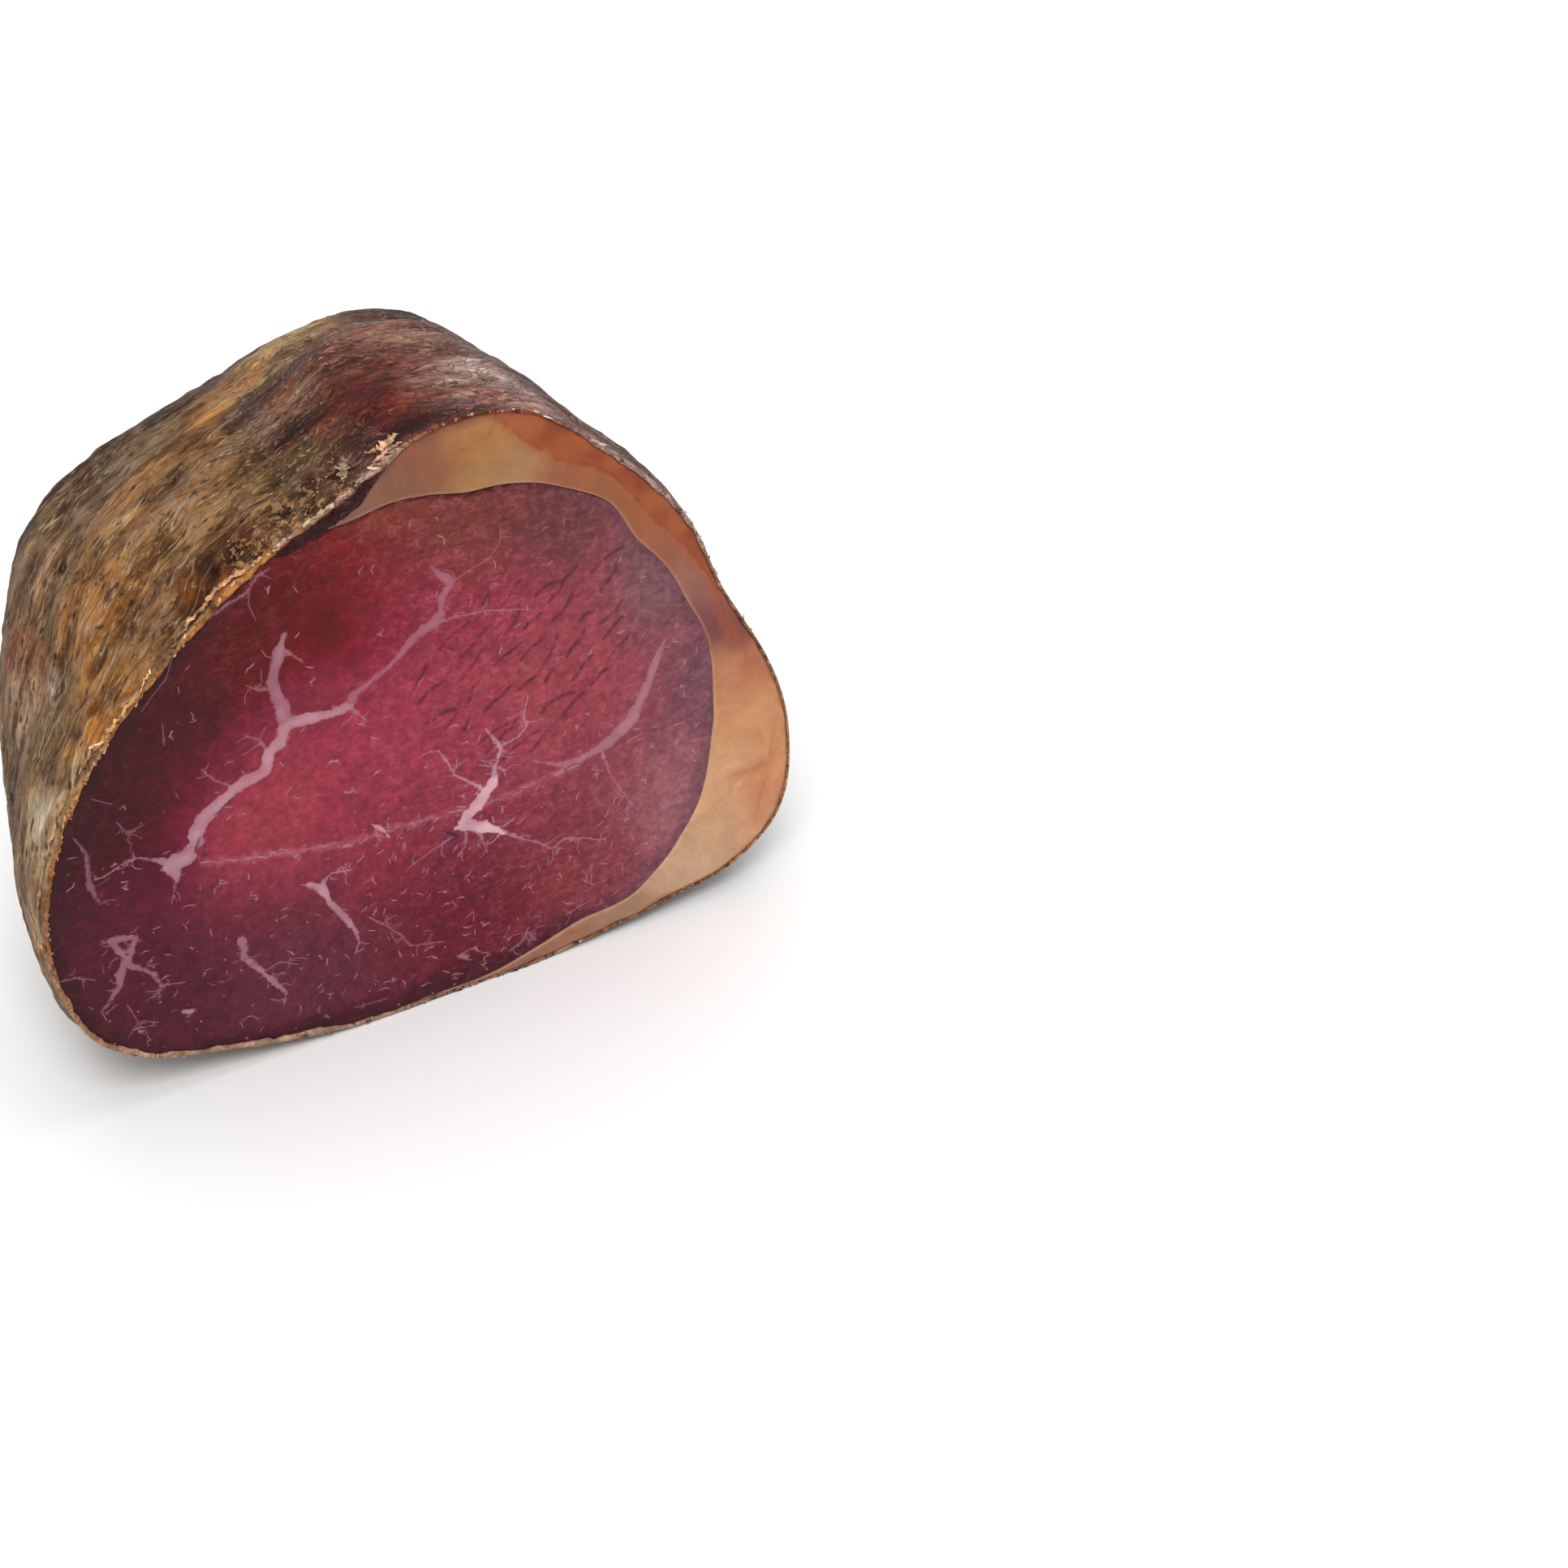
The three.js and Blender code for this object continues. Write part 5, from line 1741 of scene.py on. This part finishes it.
def dry_crumb():
    """Dried shreds of meat and fat at the edge: matt, brittle and a little translucent."""
    material, add, place = start_material("dried_meat_and_fat_shreds")
    tint = add("Attribute", attribute_name="tint")
    grain = add("TexNoise", {"Vector": place, "Scale": per_metre(0.7), "Detail": 4.0})
    level = add("MapRange", {"Value": grain, 1: 0.3, 2: 0.7, 3: 0.75, 4: 1.2})
    grey_level = add("CombineColor", {0: level, 1: level, 2: level})
    colour = add("Mix", {0: 1.0, 6: tint, 7: grey_level}, blend_type="MULTIPLY", **COLOURS)
    bump = add("Bump", {"Height": grain, "Strength": 0.7, "Distance": 0.2 * MM})
    shader = add(
        "BsdfPrincipled",
        {
            "Base Color": colour,
            "Roughness": 0.55,
            "IOR": 1.45,
            "Specular IOR Level": 0.3,
            "Subsurface Weight": 0.1,
            "Subsurface Radius": (1.0, 0.6, 0.35),
            "Subsurface Scale": 1 * MM,
            "Normal": bump,
        },
    )
    add("OutputMaterial", {"Surface": shader})
    return material


def chip_shapes(random, centre, way, along, long, wide, thick, curl):
    """Closed chips, one for each centre: a ragged ring of eight points in the plane across the
    chip's way out, bent up by curl times the square of the share of its length, with a middle
    point above and one below."""
    count = len(centre)
    at = np.arange(CHIP_CORNERS)
    turn = at * 2 * np.pi / CHIP_CORNERS
    ragged = random.uniform(0.7, 1.25, (count, CHIP_CORNERS))
    a = long[:, None] / 2 * np.cos(turn) * ragged
    b = wide[:, None] / 2 * np.sin(turn) * ragged
    up = curl[:, None] * np.cos(turn) ** 2
    along = unit(along - way * (along * way).sum(1, keepdims=True))
    across = np.cross(way, along)
    ring = centre[:, None] + along[:, None] * a[..., None] + across[:, None] * b[..., None]
    ring = ring + way[:, None] * up[..., None]
    top, bottom = (centre + way * (side * thick)[:, None] for side in (0.5, -0.5))
    points = np.concatenate([ring, top[:, None], bottom[:, None]], 1)
    corners = np.concatenate([fan_faces(at, CHIP_CORNERS, False), fan_faces(at, CHIP_CORNERS + 1)])
    faces = corners[None] + (CHIP_CORNERS + 2) * np.arange(count)[:, None, None]
    return points.reshape(-1, 3), faces.reshape(-1, 3)


def rim_chips(random):
    """Centres, ways out, directions, sizes and colours of the chips along the rim."""
    parts = []
    for count, angles, lengths, widths, depths, dark, pale in RIM_CHIPS.values():
        angle = random.uniform(*angles, count)
        a = np.radians(angle)
        radius = outline(angle) - random.uniform(*depths, count)
        front = random.uniform(0.0, 1.0, count) * (0.2 + rim_height(within_turn(angle)) * 0.4)
        centre = np.stack([radius * np.cos(a), -front, AXIS_HEIGHT + radius * np.sin(a)], -1)
        way = 0.8 * outwards(angle, 0) + np.array([0, -0.8, 0]) + random.normal(0, 0.22, (count, 3))
        way = unit(way)
        along = np.stack([-np.sin(a), 0 * a, np.cos(a)], -1) + random.normal(0, 0.18, (count, 3))
        shade = random.random((count, 1)) ** 1.4
        colour = mix(srgb(dark), srgb(pale), shade)
        long, wide = random.uniform(*lengths, count), random.uniform(*widths, count)
        parts.append((centre, way, along, long, wide, colour))
    return [np.concatenate(column) for column in zip(*parts)]


def crumbs(random, points, way, craggy):
    """The same for crumbs on the craggy places of the rind."""
    likely = craggy**1.5
    chosen = random.choice(len(points), CRUMB_COUNT, p=likely / likely.sum())
    colours = np.array([srgb(colour) for colour in CRUMB_COLOURS])
    shares = list(CRUMB_COLOURS.values())
    shift = random.normal(0, 0.35, (CRUMB_COUNT, 3))
    centre = points[chosen] + way[chosen] * random.uniform(-0.1, 0.3, (CRUMB_COUNT, 1)) + shift
    out = unit(way[chosen] + random.normal(0, 0.3, (CRUMB_COUNT, 3)))
    long = 0.5 + 0.9 * random.random(CRUMB_COUNT) ** 2.2
    wide = long * random.uniform(0.45, 0.95, CRUMB_COUNT)
    colour = colours[random.choice(len(colours), CRUMB_COUNT, p=shares)]
    along = np.cross(out, [0, 1, 0]) + random.normal(0, 0.4, (CRUMB_COUNT, 3))
    return centre, out, along, long, wide, colour


def torn_flake(points, way, lift, path):
    """A flake as a closed ribbon: its middle line follows the rind under a path of pixels, stands
    off it by the lift in the middle of the path and touches it at both ends, and its surface and
    its two edges are ragged."""
    count = FLAKE_ROWS * len(path)
    t = np.linspace(0, 1, count)
    stations = np.linspace(0, 1, len(path))
    pixels = np.stack([np.interp(t, stations, [point[k] for point in path]) for k in (0, 1)], -1)
    half = np.interp(t, stations, [point[2] for point in path]) / 2
    seen = way @ CAMERA_BACK > 0.05
    ahead, facing = points[seen], way[seen]
    nearest = [np.argmin(np.hypot(*(to_pixels(ahead) - pixel).T)) for pixel in pixels]
    middle, out = ahead[nearest], facing[nearest]
    for _ in range(FLAKE_SMOOTHING):
        middle[1:-1] = (middle[:-2] + middle[1:-1] + middle[2:]) / 3
        out[1:-1] = (out[:-2] + out[1:-1] + out[2:]) / 3
    tangent = np.gradient(middle, axis=0)
    across = unit(np.cross(tangent, out))
    out = unit(np.cross(across, tangent))
    bumps = 0.35 * noise(t * 4 * len(path), 3, lift * 7, 82)
    raised = middle + out * (0.2 + lift * np.sin(np.pi * t) ** 0.5 + bumps)[:, None]
    rows = []
    for side, high in FLAKE_SECTION:
        ragged = 1 + 0.7 * noise(t * 3.2 * len(path), side * 2, lift * 7, 81)
        to_side, upwards = side * half * ragged, high * half * 0.9
        rows.append(raised + across * to_side[:, None] + out * upwards[:, None])
    ribbon = np.stack(rows, 1)
    ends = ribbon[[0, -1]].mean(1)
    index = np.arange(ribbon[..., 0].size).reshape(count, -1)
    index = np.concatenate([index, index[:, :1]], 1)
    quads = grid_faces(index)
    first, last = index[[0, -1], :-1]
    poles = ribbon[..., 0].size + np.arange(2)
    closing = np.concatenate([fan_faces(first, poles[0]), fan_faces(last, poles[1], False)])
    triangles = np.concatenate([quads[:, [0, 1, 2]], quads[:, [0, 2, 3]], closing])
    return np.concatenate([ribbon.reshape(-1, 3), ends]), triangles


def shreds(points, way, craggy):
    """The loose dry bits in one mesh: chips along the rim, crumbs on the crags and torn flakes."""
    random = np.random.default_rng(CHIP_SEED)
    centre, out, along, long, wide, colour = (
        np.concatenate(pair) for pair in zip(rim_chips(random), crumbs(random, points, way, craggy))
    )
    thick = random.uniform(0.25, 0.5, len(centre))
    curl = random.uniform(-0.1, 0.45, len(centre))
    corners, faces = chip_shapes(random, centre, out, along, long, wide, thick, curl)
    shades = colour * random.uniform(0.85, 1.12, (len(centre), 1))
    shades = np.repeat(shades, CHIP_CORNERS + 2, axis=0)
    for lift, flake_colour, path in TORN_FLAKES.values():
        more, triangles = torn_flake(points, way, lift, path)
        faces = np.concatenate([faces, triangles + len(corners)])
        corners = np.concatenate([corners, more])
        light = 1 + 0.4 * noise_at(more, 1.1, 83) + 0.2 * noise_at(more, 4, 84)
        shades = np.concatenate([shades, srgb(flake_colour) * light[:, None]])
    corners[:, 2] = np.maximum(corners[:, 2], 0)
    tint = {"tint": linear(shades)}
    make_piece("dry_shreds", corners, [faces], dry_crumb(), tint, sharp_degrees=40)


def camera():
    """The photograph's camera: a long lens, looking down on the cut from its left."""
    data = bpy.data.cameras.new("camera")
    data.lens = LENS
    data.sensor_width = SENSOR
    data.clip_end = 10
    made = add_object("camera", data)
    stand(made, CAMERA_PLACE, [CAMERA_RIGHT, CAMERA_UP, CAMERA_BACK])
    bpy.context.scene.camera = made


def soft_light(name, place, aim, size, watts):
    """A square soft box that faces its aim, in millimetres and watts."""
    data = bpy.data.lights.new(name, "AREA")
    data.size = size * MM
    data.energy = watts
    back = unit(np.array(place, float) - aim)
    right = unit(np.cross([0, 1, 0] if abs(back[2]) > 0.9 else [0, 0, 1], back))
    stand(add_object(name, data), place, [right, np.cross(back, right), back])


# The studio floor: half its width, and how far below the piece it lies
FLOOR_HALF = 4000
FLOOR_BELOW = 0.3


def studio():
    """A plain pale floor, a near-white surround and two soft boxes."""
    corners = np.array([(-1, -1), (1, -1), (1, 1), (-1, 1)]) * FLOOR_HALF * MM
    mesh = bpy.data.meshes.new("studio_floor")
    mesh.from_pydata([(x, y, -FLOOR_BELOW * MM) for x, y in corners.tolist()], [], [(0, 1, 2, 3)])
    material, add, _ = start_material("matt_white_floor")
    paint = {"Base Color": linear("#f6f6f6"), "Roughness": 0.9}
    add("OutputMaterial", {"Surface": add("BsdfPrincipled", paint)})
    mesh.materials.append(material)
    floor = add_object("studio_floor", mesh)

    world = bpy.data.worlds.new("studio")
    world.use_nodes = True
    world.node_tree.nodes.clear()
    add = partial(add_node, world.node_tree)
    sky = {"Color": linear("#ffffff"), "Strength": 0.6}
    add("OutputWorld", {"Surface": add("Background", sky)})
    bpy.context.scene.world = world

    middle = np.array([0, 0, AXIS_HEIGHT])
    soft_light("key", (-700, -1300, 2000), middle, 1000, 30)
    soft_light("top", (300, 500, 2600), middle, 2400, 26)
    bpy.context.scene.view_settings.view_transform = "Standard"


lean_meat()
fat_cap()
shreds(*rind())
camera()
studio()
